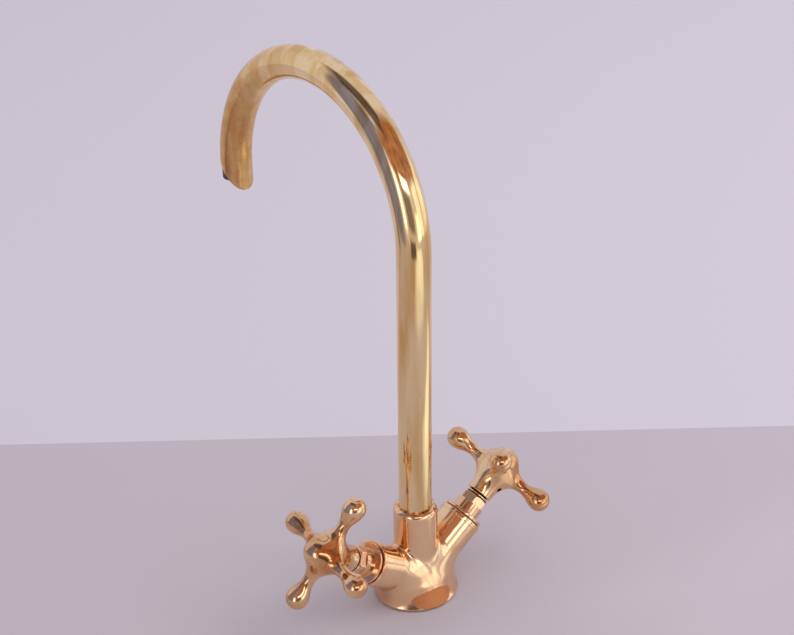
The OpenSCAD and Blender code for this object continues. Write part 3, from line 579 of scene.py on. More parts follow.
def handle_piece(name, size, side, turn):
    """A cross handle: four turned quarters, the skirt's rim, its recess and the spline's socket."""
    same = 1e-6
    quarter, on_rim = quarter_handle(size)
    grids = [spun(quarter, k * math.pi / 2) for k in range(4)]
    rim = np.concatenate([grid[0, on_rim] for grid in grids])
    azimuth = np.unique(np.round(np.arctan2(rim[:, 1], rim[:, 0]) % (2 * math.pi), 9))
    azimuth = azimuth[np.append(True, np.diff(azimuth) > same)]
    if azimuth[-1] > 2 * math.pi - same:
        azimuth = azimuth[:-1]
    bottom = -size.skirt_len
    recess_top = bottom + size.recess_h
    arc = np.linspace(0, math.pi / 2, 6)
    rounding = np.stack([
        size.skirt_r - size.rim_r * (1 - np.cos(arc)),
        bottom + size.rim_r * (1 - np.sin(arc)),
    ], -1)
    inside = rounded_profile([
        rounding[-1],
        [size.recess_r, bottom],
        [size.recess_r, recess_top],
        [size.socket_r, recess_top],
    ], radius=0.2 * MM)
    socket = np.array([
        [size.socket_r, recess_top],
        [size.socket_r, -size.socket_h],
        [0, -size.socket_h],
    ])
    twelve = polygon_radius(azimuth, 12, math.cos(math.pi / 12), sharpness=200)
    grids += [
        lathe(rounding, azimuth),
        lathe(inside, azimuth),
        np.concatenate([lathe(inside[-1:], azimuth), lathe(socket, azimuth, twelve)]),
    ]
    piece = make_piece(name, [on_handle(grid, size, side, turn) for grid in grids])
    place = partial(on_grub, size=size, side=side, turn=turn)
    cut_out(piece, [bar("grub_cutter", size.grub_r, size.socket_r / 2, size.skirt_r * 2, place)])
    return piece


def bell_radius(size, height):
    """Radius of the bell at a height, read from its cubic curve between foot and collar."""
    samples = 1500
    t = np.linspace(0, 1, samples)
    weights = [(1 - t) ** 3, 3 * (1 - t) ** 2 * t, 3 * (1 - t) * t * t, t**3]
    radii = [size.base_r, size.base_r - size.foot_in, size.collar_r - size.waist, size.collar_r]
    heights = [size.edge_h, size.edge_h + size.foot_pull, size.bell_h - size.collar_pull, size.bell_h]
    curve_r = sum(w * r for w, r in zip(weights, radii))
    curve_h = sum(w * h for w, h in zip(weights, heights))
    return np.interp(height, curve_h, curve_r)


def body_points(size, rays):
    """Points of the casting's surface on rays from where the branches' axes meet."""
    probe = 0.2 * MM
    reach = 75 * MM

    def field(points):
        """Bell, by its radius and slope, joined to both branches, widely low and tightly high."""
        x, y, z = np.moveaxis(points, -1, 0)
        slope = (bell_radius(size, z + probe) - bell_radius(size, z - probe)) / (2 * probe)
        bell = (np.hypot(x, y) - bell_radius(size, z)) / np.hypot(1, slope)
        rise = z - BRANCH_H
        along = np.abs(x) * BRANCH_AXIS[0] + rise * BRANCH_AXIS[2]
        across = np.hypot(rise * BRANCH_AXIS[0] - np.abs(x) * BRANCH_AXIS[2], y)
        branch = np.where(along > 0, across, np.hypot(across, along)) - size.branch_r
        raised = np.clip((z - size.blend_low_h) / (size.blend_high_h - size.blend_low_h), 0, 1)
        return smooth_min(bell, branch, size.low_blend + (size.high_blend - size.low_blend) * raised)

    return first_exit(field, np.zeros_like(rays) + BRANCH_H * Z, rays, reach)


def body_half(size):
    """The casting's skin on the +X side, as rows from its edge to the branch's end.

    The edge runs along a quarter of the collar's rim, down the bell's side and along a quarter
    of the foot, on both sides of the level axis. Rays from the meeting point of the axes pass
    in even lengths from that edge to the ring where the branch's bead starts.
    """
    seam_turn, foot_turn = 75, 140
    seam_samples = 800
    trial_rows = 500
    lean = 1.6

    top = np.linspace(0, math.pi / 2, size.collar_columns, endpoint=False)
    low = np.linspace(math.pi / 2, 0, size.foot_columns + 1)
    heights = np.linspace(size.collar_h, size.edge_h, seam_samples)
    side = np.stack([0 * heights, bell_radius(size, heights), heights - BRANCH_H], -1)
    run = np.append(0, np.cumsum(np.linalg.norm(np.diff(side, axis=0), axis=1)))
    wanted = np.linspace(0, run[-1], size.seam_columns, endpoint=False)
    edge = np.concatenate([
        around(size.collar_r, size.collar_h - BRANCH_H, top),
        np.stack([np.interp(wanted, run, side[:, k]) for k in range(3)], -1),
        around(size.base_r, size.edge_h - BRANCH_H, low),
    ])
    turn = np.radians(np.concatenate([
        np.linspace(0, seam_turn, size.collar_columns, endpoint=False),
        np.linspace(seam_turn, foot_turn, size.seam_columns, endpoint=False),
        np.linspace(foot_turn, 180, size.foot_columns + 1),
    ]))
    edge = np.concatenate([edge, edge[-2:0:-1] * [1, -1, 1]])
    turn = np.concatenate([turn, -turn[-2:0:-1]])
    axis = np.array([BRANCH_AXIS[0], 0, BRANCH_AXIS[2]])
    up = np.cross(axis, Y)
    ring_u = size.branch_len - size.bead_w
    ring = axis * ring_u + size.branch_r * (np.outer(np.cos(turn), up) + np.outer(np.sin(turn), Y))
    from_edge = edge / np.linalg.norm(edge, axis=1, keepdims=True)
    to_ring = ring / np.linalg.norm(ring, axis=1, keepdims=True)

    def place(share):
        """Surface points at a share of the way from the edge's directions to the ring's."""
        rays = from_edge * (1 - share[..., None]) + to_ring * share[..., None]
        return body_points(size, rays / np.linalg.norm(rays, axis=-1, keepdims=True))

    share = 1 - (1 - np.linspace(0, 1, trial_rows)[:, None] * np.ones(len(turn))) ** lean
    return place(evenly(place(share), share, size.rows)), turn


def body_piece(size):
    """The cast body: both halves, branch ends, socket, valve chambers, foot and their holes."""
    half, turn = body_half(size)
    bead_u = size.branch_len - size.bead_w
    seat_u = size.chamber_u + 2 * MM
    water_way_u = size.chamber_u - 9 * MM
    branch_end = rounded_profile([
        [size.branch_r, bead_u],
        *stepped(
            [size.bead_r, size.thread_bore_r, size.chamber_r, size.seat_r, size.seat_bore_r],
            [bead_u, size.branch_len, size.thread_u, size.chamber_u, seat_u, water_way_u],
        ),
        [0, water_way_u],
    ], radius=0.5 * MM, steps=6)
    end = on_branch(lathe(branch_end, math.pi / 2 - turn), 1)
    quarter = np.linspace(0, math.pi / 2, 10)
    shoulder = np.stack([
        size.mouth_r + (size.collar_r - size.mouth_r) * np.cos(quarter),
        size.collar_h + (size.mouth_h - size.collar_h) * np.sin(quarter),
    ], -1)
    socket = rounded_profile([
        shoulder[-1],
        *stepped([size.socket_r, size.well_r], [size.mouth_h, size.socket_h, size.well_h]),
        [0, size.well_h],
    ], radius=0.3 * MM)
    mirror = np.array([-1, 1, 1])
    foot_start = size.collar_columns + size.seam_columns
    front = half[0, foot_start : foot_start + 2 * size.foot_columns + 1]
    rim = np.concatenate([front, (front * mirror)[-2:0:-1]])
    foot_turn = np.arctan2(rim[:, 1], rim[:, 0])
    curl = quarter[:, None]
    foot_r = size.foot_r + (np.hypot(rim[:, 0], rim[:, 1]) - size.foot_r) * np.cos(curl)
    sole = rounded_profile([
        [size.foot_r, 0],
        *stepped([size.groove_out_r, size.groove_in_r], [0, size.groove_h, 0]),
        [0, 0],
    ], radius=0.15 * MM)
    top_turn = turns(4 * size.collar_columns)
    piece = make_piece("body_casting", [
        half,
        half * mirror,
        end,
        end * mirror,
        lathe(shoulder, top_turn),
        lathe(socket, top_turn),
        around(foot_r, rim[:, 2] * (1 - np.sin(curl)), foot_turn),
        lathe(sole, foot_turn),
    ])
    below = -1 * MM
    holes = [(size.stud_r, size.stud_depth, 0, size.stud_y)]
    for side in SIDES.values():
        holes.append((size.inlet_r, size.inlet_depth, side * size.inlet_x, -size.inlet_y))
    cut_out(piece, [
        bar("hole_cutter", radius, below, depth, partial(np.add, [x, y, 0]))
        for radius, depth, x, y in holes
    ])
    return piece


def spout_line(size, distance):
    """Centre of the tube and its outward normal at a distance from the tube's lower end.

    The line goes straight up to the bend's height, round a half circle towards -Y, and straight
    down.
    """
    riser = size.bend_h - size.low_h
    arc = math.pi * size.bend_r
    bend = np.clip((distance - riser) / size.bend_r, 0, math.pi)
    height = size.low_h + np.minimum(distance, riser) + size.bend_r * np.sin(bend)
    height = height - np.maximum(distance - riser - arc, 0)
    centre = np.stack([0 * bend, -size.bend_r * (1 - np.cos(bend)), height], -1)
    normal = np.stack([0 * bend, np.cos(bend), np.sin(bend)], -1)
    return centre, normal


def spout_ring(size, distance, radius, angles):
    """Points at a distance along the spout, at a radius and an angle from +X."""
    centre, normal = spout_line(size, distance)
    out = np.cos(angles)[..., None] * X + np.sin(angles)[..., None] * normal
    return centre + np.asarray(radius)[..., None] * out


def distance_to_cut(size, radius, inset, angles):
    """Distance along the spout at which each column meets the slanted cut, moved in by inset.

    The height above the cut's plane falls steadily along the last part of the spout, so the
    crossing is found by halving, from a place in the bend that is above the cut all round.
    """
    above_cut = math.radians(150)
    halvings = 40
    riser = size.bend_h - size.low_h
    near = np.zeros(np.broadcast(radius, angles).shape) + riser + size.bend_r * above_cut
    far = near + size.bend_r
    for _ in range(halvings):
        middle = (near + far) / 2
        point = spout_ring(size, middle, radius, angles)
        rise = (point[..., 2] - size.bend_h + size.tip_drop) * math.cos(size.tip_angle)
        above = rise + (point[..., 1] + 2 * size.bend_r) * math.sin(size.tip_angle) > inset
        near = np.where(above, middle, near)
        far = np.where(above, far, middle)
    return near


def spout_piece(size):
    """The swept tube, with its outer wall, rounded slanted lip, inner wall and lower end."""
    inner_rows = 160
    lean_from = 0.86
    angles = turns(size.columns)
    tube_r = size.tube_d / 2
    bore_r = tube_r - size.tube_wall
    arc = np.linspace(0, math.pi, 12)
    lip_radius = (tube_r + bore_r) / 2 + (tube_r - bore_r) / 2 * np.cos(arc)
    lip_inset = size.lip_r * (1 - np.sin(arc))
    lip = distance_to_cut(size, lip_radius[:, None], lip_inset[:, None], angles)

    def wall(end, rows):
        """Even distances that lean over to a slanted end in the last part of the run."""
        share = np.linspace(0, 1, rows)[:, None]
        mean = end.mean()
        return mean * share + (end - mean) * smooth_step(share, lean_from, 1.0)

    outer = wall(lip[0], size.rows)[:-1]
    inner = wall(lip[-1], inner_rows)[-2::-1]
    radius = np.concatenate([np.full(len(outer), tube_r), lip_radius, np.full(len(inner), bore_r)])
    grid = spout_ring(size, np.concatenate([outer, lip, inner]), radius[:, None], angles)
    return make_piece("spout_tube_drawn", [grid], close_rows=True)


def housing_piece(size):
    """The aerator housing: its bent outer wall, level end, ledged bore and inner end."""
    wall_rows = 30
    edge = 0.4 * MM
    angles = turns(size.columns)
    bend_start = size.bend_h - size.low_h
    inner_end = bend_start + size.bend_r * (math.pi - size.housing_arc)
    level_end = bend_start + size.bend_r * math.pi + size.bend_h - size.housing_end_h
    arc = np.linspace(0, math.pi / 2, 6)
    distance = np.append(
        np.linspace(inner_end, level_end - edge, wall_rows, endpoint=False),
        level_end - edge * (1 - np.sin(arc)),
    )
    radius = np.append(
        np.full(wall_rows, size.housing_r),
        size.housing_r - edge * (1 - np.cos(arc)),
    )
    outside = spout_ring(size, distance[:, None], radius[:, None], angles)
    axis = 2 * size.bend_r * Y
    slant_y = (around(size.ledge_bore_r, 0, -angles) - axis)[:, 1] + size.bend_r
    bore = [
        around(radius, height, -angles) - axis
        for radius, height in (
            (size.housing_bore_r, size.housing_end_h),
            (size.housing_bore_r, size.ledge_h),
            (size.ledge_bore_r, size.ledge_h),
            (size.ledge_bore_r, size.bend_h - math.tan(size.housing_arc) * slant_y),
        )
    ]
    grid = np.concatenate([outside, bore])
    return make_piece("aerator_housing_moulded", [grid], close_rows=True)


def bonnet_piece(name, size, side, turn):
    """A bonnet: threaded barrel, flange, round stage, chamfered hexagon and stepped bores.

    The hexagon is cut by a cone, which bevels its foot a little and chamfers its top.
    """
    angles = turn + math.pi / 6 + turns(size.columns)
    hexagon = polygon_radius(angles, 6, size.hex_flat_r, turn)
    guide = polygon_radius(angles, 6, size.guide_r, sharpness=200)
    lower = rounded_profile(stepped(
        [size.thread_r, size.flange_r, size.stage_r],
        [size.barrel_u, size.flange_u, size.stage_u, size.hex_u],
    ), size.edge_r)
    corner_r = size.hex_flat_r / math.cos(math.pi / 6)
    bevel = 0.35 * MM
    top_in = 0.3 * MM
    foot = size.hex_u + 0.02 * MM
    bevel_top = size.hex_u + 0.25 * MM
    plain_from = size.hex_u + 0.8 * MM
    chamfer_low = size.hex_top_u - size.hex_chamfer
    hex_u = np.concatenate([
        [foot, bevel_top],
        np.linspace(plain_from, chamfer_low, 8, endpoint=False),
        np.linspace(chamfer_low, size.hex_top_u, 10),
    ])
    cone = np.interp(
        hex_u,
        [size.hex_u, bevel_top, chamfer_low, size.hex_top_u],
        [corner_r - bevel, corner_r, corner_r, size.hex_flat_r - top_in],
    )
    bores = np.array(stepped(
        [size.gland_bore_r, size.journal_r, size.pocket_r],
        [size.hex_top_u, size.packing_u, size.pocket_top_u, size.guide_top_u],
    ))
    grid = np.concatenate([
        lathe(lower, angles),
        around(np.minimum(hexagon, cone[:, None]), hex_u[:, None], angles),
        lathe(bores, angles),
        around(guide, np.array([[size.guide_top_u], [size.barrel_u]]), angles),
    ])
    return make_piece(name, [on_branch(grid, side)], sharp=30, close_rows=True)


def gland_piece(name, size, side):
    """A gland nut: thread, thin neck, rim and boss round its bore, with softened edges."""
    profile = rounded_profile([
        [size.journal_r, size.gland_u],
        *stepped(
            [size.gland_r, size.neck_r, size.rim_r, size.boss_r],
            [size.gland_u, size.hex_top_u, size.rim_u, size.boss_u, size.top_u],
        ),
        [size.journal_r, size.top_u],
    ], radius=size.edge_r * 0.7)
    grid = on_branch(lathe(profile, turns(size.columns)), side)
    return make_piece(name, [grid], sharp=40, close_rows=True)


def screw_piece(size):
    """The retaining screw: a shank and a domed head with a driver's slot across it."""
    half_slot = 0.3 * MM
    slot_floor = 0.55 * MM
    past_head = 3 * MM
    arc = np.linspace(0, 1, 12) * math.pi / 2
    profile = np.concatenate([
        [[0, -size.screw_len], [size.screw_r, -size.screw_len], [size.screw_r, 0]],
        np.stack([size.screw_head_r * np.cos(arc), size.screw_head_h * np.sin(arc)], -1),
    ])

    def place(points):
        """From the screw's own Z to its axis on the collar's shoulder."""
        width = size.collar_r - size.mouth_r
        rise = size.mouth_h - size.collar_h
        out = size.mouth_r + width * math.cos(size.screw_tilt)
        height = size.collar_h + rise * math.sin(size.screw_tilt)
        level, across = spun(X, size.screw_turn), spun(Y, size.screw_turn)
        axis = level * math.cos(size.screw_tilt) + Z * math.sin(size.screw_tilt)
        return points @ np.stack([across, np.cross(axis, across), axis]) + level * out + Z * height

    piece = make_piece("spout_retaining_screw_domed", [place(lathe(profile, turns(48)))])
    corners = np.array([[-1, -1, 0], [1, -1, 0], [1, 1, 0], [-1, 1, 0]])
    corners = corners * [past_head, half_slot, 0]
    box = np.stack([
        0 * corners + slot_floor * Z,
        corners + slot_floor * Z,
        corners + past_head * Z,
        0 * corners + past_head * Z,
    ])
    cut_out(piece, [make_piece("slot_cutter", [place(box)])])
    return piece


def add(tree, kind, inputs=None, greys=(), **settings):
    """Adds a node with its settings, its inputs and a ramp's places and greys.

    An input is a value, a socket, or a node, which stands for the first of its outputs in use.
    """
    made = tree.nodes.new("ShaderNode" + kind)
    for key, value in settings.items():
        setattr(made, key, value)
    for key, value in (inputs or {}).items():
        if isinstance(value, bpy.types.Node):
            value = next(socket for socket in value.outputs if socket.enabled)
        if isinstance(value, bpy.types.NodeSocket):
            tree.links.new(value, made.inputs[key])
        else:
            made.inputs[key].default_value = value
    if greys:
        elements = made.color_ramp.elements
        while len(elements) < len(greys):
            elements.new(0.5)
        for element, (place, level) in zip(elements, greys):
            element.position = place
            element.color = (level, level, level, 1)
    return made


def per(millimetres):
    """Scale of a pattern on Object coordinates whose features are about that many mm wide."""
    return 1 / (millimetres * MM)


def new_material(name, coordinates="Object"):
    """An empty material, its node tree and its coordinates."""
    material = bpy.data.materials.new(name)
    material.use_nodes = True
    tree = material.node_tree
    tree.nodes.clear()
    return material, tree, add(tree, "TexCoord").outputs[coordinates]


def polished_brass(name, clean, warm, spot, rough, wave_mm, wave, blotch_mm=22, drawn=1.0, layers=()):
    """Polished, unlacquered brass.

    Clean brass reflects about 90% of red light and 40% of blue. Buffing leaves slow waves and
    hair-fine lines, and air and hands warm its colour in blotches with small brown specks. On
    a drawn tube the blotches run along it. Each layer on the brass is a function that gives
    the layer's share and colour, with how much rougher it is.
    """
    _, tree, place = new_material(name)
    stretched = add(tree, "Mapping", {"Vector": place, "Scale": (1, 1, drawn)})
    blotch = add(tree, "TexNoise", {"Vector": stretched, "Scale": per(blotch_mm), "Detail": 3.0})
    share = add(tree, "ValToRGB", {0: blotch}, [(0.42, 0), (0.68, 1)])
    base = add(tree, "Mix", {0: share, 6: linear(clean), 7: linear(warm)}, data_type="RGBA")
    fleck = add(tree, "TexNoise", {"Vector": place, "Scale": per(1.6), "Detail": 4.0, "Roughness": 0.6})
    share = add(tree, "ValToRGB", {0: fleck}, [(0.63, 0), (0.74, 0.55)])
    base = add(tree, "Mix", {0: share, 6: base, 7: linear(spot)}, data_type="RGBA")
    gloss = add(tree, "MapRange", {"Value": blotch, "From Min": 0.3, "From Max": 0.7,
                                   "To Min": rough * 0.75, "To Max": rough * 1.35})
    for layer, rougher in layers:
        share, tone = layer(tree, place)
        base = add(tree, "Mix", {0: share, 6: base, 7: tone}, data_type="RGBA")
        more = add(tree, "MapRange", {"Value": share, "To Min": 0.0, "To Max": rougher})
        gloss = add(tree, "Math", {0: gloss, 1: more}, operation="ADD")
    slow = add(tree, "TexNoise", {"Vector": place, "Scale": per(wave_mm), "Detail": 1.5})
    # The polishing lines are drawn about ten times as wide as real ones, which would not show.
    lines = add(tree, "Mapping", {"Vector": place, "Scale": (1, 1, 0.12), "Rotation": (0.5, 0.3, 0)})
    hair = add(tree, "TexNoise", {"Vector": lines, "Scale": per(0.5), "Detail": 2.0})
    waves = add(tree, "Bump", {"Height": slow, "Distance": wave * MM, "Strength": 1.0})
    fine = add(tree, "Bump", {"Height": hair, "Normal": waves, "Distance": 0.002 * MM, "Strength": 1.0})
    shader = add(tree, "BsdfPrincipled", {"Base Color": base, "Roughness": gloss, "Normal": fine,
                                          "Metallic": 1.0})
    add(tree, "OutputMaterial", {"Surface": shader})


def plain_finish(name, tone, rough, grain_mm, grain, metallic=0.0):
    """A moulded, blackened, rubber, fibre or machined surface.

    Its colour and gloss vary a little over a few grains, and its grain is in the bump. The IOR
    of plastic and rubber is about 1.5, which is also the default that a metal keeps.
    """
    _, tree, place = new_material(name)
    cloud = add(tree, "TexNoise", {"Vector": place, "Scale": per(6 * grain_mm), "Detail": 3.0})
    base = add(tree, "Mix", {0: cloud, 6: linear(tone, 0.82), 7: linear(tone)}, data_type="RGBA")
    gloss = add(tree, "MapRange", {"Value": cloud, "To Min": rough * 0.8, "To Max": rough * 1.2})
    fine = add(tree, "TexNoise", {"Vector": place, "Scale": per(grain_mm), "Detail": 2.0})
    bump = add(tree, "Bump", {"Height": fine, "Distance": grain * MM, "Strength": 1.0})
    shader = add(tree, "BsdfPrincipled", {"Base Color": base, "Roughness": gloss, "Normal": bump,
                                          "Metallic": metallic, "IOR": 1.5})
    add(tree, "OutputMaterial", {"Surface": shader})


def spout_tarnish(colours, tree, place):
    """Tarnish of the tube: it grows over the arch towards the tip, in brown and red patches."""
    start_y, full_y = -0.09, -0.17
    parts = add(tree, "SeparateXYZ", {0: place})
    along = add(tree, "MapRange", {"Value": parts.outputs["Y"], "From Min": start_y,
                                   "From Max": full_y, "To Min": 0.08, "To Max": 0.85})
    patch = add(tree, "TexNoise", {"Vector": place, "Scale": per(9), "Detail": 6.0, "Roughness": 0.65})
    spread = add(tree, "ValToRGB", {0: patch}, [(0.36, 0.55), (0.66, 1)])
    share = add(tree, "Math", {0: along, 1: spread}, operation="MULTIPLY")
    patch = add(tree, "TexNoise", {"Vector": place, "Scale": per(14), "Detail": 4.0})
    red = add(tree, "ValToRGB", {0: patch}, [(0.45, 0), (0.62, 1)])
    tones = {0: red, 6: linear(colours.tarnish), 7: linear(colours.tarnish_red)}
    return share, add(tree, "Mix", tones, data_type="RGBA")


def foot_reflection_and_grime(colours, low, high, tree, place):
    """A painted reflection: a copper-red oval low on the casting's front, besides the residue in the
    collar's joint.
    """
    share, grime = joint_grime(colours, low, high, tree, place)
    out, height = 26 * MM, 6.5 * MM
    turn = math.radians(80)
    half_sizes = (14 * MM, 16 * MM, 5.6 * MM)
    centre = (out * math.cos(turn), out * math.sin(turn), height)
    oval = add(tree, "Mapping", {"Vector": place, "Location": centre, "Rotation": (0, 0.12, turn),
                                 "Scale": half_sizes}, vector_type="TEXTURE")
    away = add(tree, "VectorMath", {0: oval}, operation="LENGTH")
    pits = add(tree, "TexNoise", {"Vector": place, "Scale": per(2.5), "Detail": 5.0})
    ragged = add(tree, "Math", {0: pits, 1: 0.25, 2: away}, operation="MULTIPLY_ADD")
    # The oval's mask, where the painted reflection shows.
    inside = add(tree, "MapRange", {"Value": ragged, "From Min": 1.16, "From Max": 1.08})
    both = add(tree, "Math", {0: inside, 1: share}, operation="MAXIMUM")
    tones = {0: pits, 6: linear(colours.tarnish_red), 7: linear(colours.copper_and_painted_reflection)}
    copper_and_painted_reflection = add(tree, "Mix", tones, data_type="RGBA")
    return both, add(tree, "Mix", {0: inside, 6: grime, 7: copper_and_painted_reflection}, data_type="RGBA")


def joint_grime(colours, low, high, tree, place):
    """Dark polish residue in a band of heights, broken up by noise and pits."""
    parts = add(tree, "SeparateXYZ", {0: place})
    off = add(tree, "Math", {0: parts.outputs["Z"], 1: (low + high) / 2}, operation="SUBTRACT")
    far = add(tree, "Math", {0: off}, operation="ABSOLUTE")
    near = add(tree, "MapRange", {"Value": far, "From Min": (high - low) / 2, "From Max": 0.0})
    patch = add(tree, "TexNoise", {"Vector": place, "Scale": per(3.5), "Detail": 4.0})
    broken = add(tree, "ValToRGB", {0: patch}, [(0.45, 0), (0.7, 0.6)])
    share = add(tree, "Math", {0: near, 1: broken}, operation="MULTIPLY")
    return share, linear(colours.grime)


def groove_shade(colours, grooves, tree, place):
    """Painted shade: black in grooves between given distances along either branch."""
    fade = 0.15 * MM
    either = add(tree, "VectorMath", {0: place}, operation="ABSOLUTE")
    along = add(tree, "VectorMath", {0: either, 1: BRANCH_AXIS}, operation="DOT_PRODUCT")
    foot = BRANCH_H * BRANCH_AXIS[2]
    low, high = grooves[0][0] + foot, grooves[-1][1] + foot
    stops = [
        ((u + foot - low) / (high - low), level)
        for start, end in grooves
        for u, level in ((start, 0), (start + fade, 1), (end - fade, 1), (end, 0))
    ]
    reached = add(tree, "MapRange", {"Value": along, "From Min": low, "From Max": high})
    return add(tree, "ValToRGB", {0: reached}, stops), linear(colours.residue)


def hole_shade(colours, size, tree, place):
    """Painted shade: black on the walls of the grub screws' holes, at rest, by distance from their
    axes.
    """
    clear_r = size.grub_r + 0.3 * MM
    full_r = size.grub_r + 0.1 * MM
    walls = []
    for side, turn in ((SIDES["hot"], size.hot_turn), (SIDES["cold"], size.cold_turn)):
        start, end = on_grub(np.array([[0, 0, 0], [0, 0, 1]]), size, side, turn)
        out = (end - start).tolist()
        off = add(tree, "VectorMath", {0: place, 1: start.tolist()}, operation="SUBTRACT")
        square = add(tree, "VectorMath", {0: off, 1: out}, operation="CROSS_PRODUCT")
        away = add(tree, "VectorMath", {0: square}, operation="LENGTH")
        far = add(tree, "VectorMath", {0: off, 1: out}, operation="DOT_PRODUCT")
        wall = add(tree, "MapRange", {"Value": away, "From Min": clear_r, "From Max": full_r})
        outer = add(tree, "Math", {0: far, 1: size.socket_r}, operation="GREATER_THAN")
        walls.append(add(tree, "Math", {0: wall, 1: outer}, operation="MULTIPLY"))
    share = add(tree, "Math", {0: walls[0], 1: walls[1]}, operation="MAXIMUM")
    return share, linear(colours.residue)


def make_finishes(colours):
    """Makes the brasses, each by how it was polished, and the finishes of the other parts."""
    joint = partial(joint_grime, colours, 66 * MM, 70.5 * MM)
    # The casting's layer paints a reflection, the copper-red oval on the foot, besides the joint's
    # residue.
    copper_and_painted_reflection = partial(foot_reflection_and_grime, colours, 66.6 * MM, 69.4 * MM)
    # Painted shade darkens the grub screws' holes in the handles.
    hole = partial(hole_shade, colours, bpy.context.scene.tap_handle)
    # The headwork's grooves, which are painted black as shade.
    grooves = [(66.95 * MM, 67.85 * MM), (68.65 * MM, 70.8 * MM)]
    polished_brass("brass_polished_drawn", colours.drawn, colours.drawn_warm, colours.tarnish,
                   rough=0.09, wave_mm=30, wave=0.10, blotch_mm=9, drawn=0.12,
                   layers=[(partial(spout_tarnish, colours), 0.2), (joint, 0.4)])
    polished_brass("brass_polished_cast", colours.cast, colours.cast_copper, colours.tarnish_red,
                   rough=0.12, wave_mm=9, wave=0.06, layers=[(copper_and_painted_reflection, 0.4)])
    polished_brass("brass_buffed", colours.buffed, colours.buffed_warm, colours.tarnish,
                   rough=0.09, wave_mm=8, wave=0.05, layers=[(hole, 0.4)])
    polished_brass("brass_turned", colours.turned, colours.cast_copper, colours.tarnish_red,
                   rough=0.15, wave_mm=6, wave=0.03,
                   layers=[(partial(groove_shade, colours, grooves), 0.4)])
    polished_brass("brass_screw", colours.copper_and_painted_reflection, colours.grime, colours.grime,
                   rough=0.2, wave_mm=3, wave=0.02, blotch_mm=3)
    # Roughness, width and depth of the grain in mm, and metallic.
    plain_finish("brass_machined", colours.machined, 0.32, 0.4, 0.006, 1.0)
    plain_finish("black_moulded_plastic", colours.plastic, 0.42, 0.3, 0.01)
    plain_finish("white_acetal", colours.acetal, 0.38, 0.5, 0.006)
    plain_finish("stainless_steel", colours.steel, 0.26, 0.4, 0.006, 1.0)
    plain_finish("black_oxide_steel", colours.oxide, 0.5, 0.4, 0.006, 1.0)
    plain_finish("black_nitrile_rubber", colours.rubber, 0.6, 0.3, 0.01)
    plain_finish("red_vulcanised_fibre", colours.fibre, 0.7, 0.5, 0.02)


def finish(name):
    """A finish by its name. All of them are made when the first one is asked for."""
    if "brass_polished_drawn" not in bpy.data.materials:
        make_finishes(bpy.context.scene.tap_colours)
    return bpy.data.materials[name]


def repaint(finish_name, *nodes):
    """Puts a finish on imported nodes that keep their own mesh."""
    for node in nodes:
        target = frame["nodes"][node]
        if not target.material_slots:
            raise RuntimeError(f"node {node} has no material slot")
        for place in target.material_slots:
            place.link = "OBJECT"
            place.material = finish(finish_name)


class TAP_OT_spout(bpy.types.Operator):
    """Make the swan-neck tube"""

    bl_idname = "tap.spout"
    bl_label = "Spout tube"

    def execute(self, context):
        piece = spout_piece(context.scene.tap_spout)
        dress(piece, "spout", "spout_brass", "brass_polished_drawn", "spout_tube")
        return {"FINISHED"}


class TAP_OT_aerator(bpy.types.Operator):
    """Make the aerator housing and finish the discs inside it"""

    bl_idname = "tap.aerator"
    bl_label = "Aerator"

    def execute(self, context):
        piece = housing_piece(context.scene.tap_spout)
        dress(piece, "spout", "black_plastic", "black_moulded_plastic", "aerator_housing")
        repaint("white_acetal", "flow_straightener")
        repaint("stainless_steel", "aerator_screen")
        return {"FINISHED"}


class TAP_OT_body(bpy.types.Operator):
    """Make the cast body with its collar and branches"""

    bl_idname = "tap.body"
    bl_label = "Body casting"

    def execute(self, context):
        piece = body_piece(context.scene.tap_body)
        dress(piece, "faucet_body", "cast_brass", "brass_polished_cast", "body")
        return {"FINISHED"}


class TAP_OT_retaining_screw(bpy.types.Operator):
    """Make the small domed screw that keeps the spout in its collar"""

    bl_idname = "tap.retaining_screw"
    bl_label = "Retaining screw"

    def execute(self, context):
        piece = screw_piece(context.scene.tap_body)
        dress(piece, "faucet_body", "screw_brass", "brass_screw", "spout_retaining_screw")
        return {"FINISHED"}


class TAP_OT_headwork(bpy.types.Operator):
    """Make both bonnets and both gland nuts"""

    bl_idname = "tap.headwork"
    bl_label = "Headwork"

    def execute(self, context):
        size = context.scene.tap_headwork
        hexagon_turns = {"hot": size.hot_turn, "cold": size.cold_turn}
        for name, side in SIDES.items():
            bonnet = bonnet_piece(f"{name}_bonnet_turned", size, side, hexagon_turns[name])
            gland = gland_piece(f"{name}_gland_nut_turned", size, side)
            for piece, node in ((bonnet, f"{name}_bonnet"), (gland, f"{name}_gland_nut")):
                dress(piece, "faucet_body", "headwork_brass", "brass_turned", node)
        return {"FINISHED"}


class TAP_OT_handles(bpy.types.Operator):
    """Make both cross handles"""

    bl_idname = "tap.handles"
    bl_label = "Cross handles"

    def execute(self, context):
        size = context.scene.tap_handle
        handle_turns = {"hot": size.hot_turn, "cold": size.cold_turn}
        for name, side in SIDES.items():
            piece = handle_piece(f"{name}_handle_cast", size, side, handle_turns[name])
            dress(piece, f"{name}_handle", "handle_brass", "brass_buffed", f"{name}_handle")
        return {"FINISHED"}


class TAP_OT_inner_parts(bpy.types.Operator):
    """Finish the seals, spindles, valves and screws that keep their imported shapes"""

    bl_idname = "tap.inner_parts"
    bl_label = "Inner parts"

    def execute(self, context):
        repaint("black_nitrile_rubber", "base_gasket", "spout_o_rings")
        repaint("brass_machined", "spout_spigot")
        repaint("white_acetal", "spout_thrust_ring")
        for name in SIDES:
            repaint("red_vulcanised_fibre", f"{name}_bonnet_gasket")
            repaint("black_oxide_steel", f"{name}_grub_screw")
            for part in ("gland_packing", "spindle_o_rings", "valve_washer"):
                repaint("black_nitrile_rubber", f"{name}_{part}")
            for part in ("spindle", "valve_carrier", "washer_screw"):
                repaint("brass_machined", f"{name}_{part}")
        return {"FINISHED"}


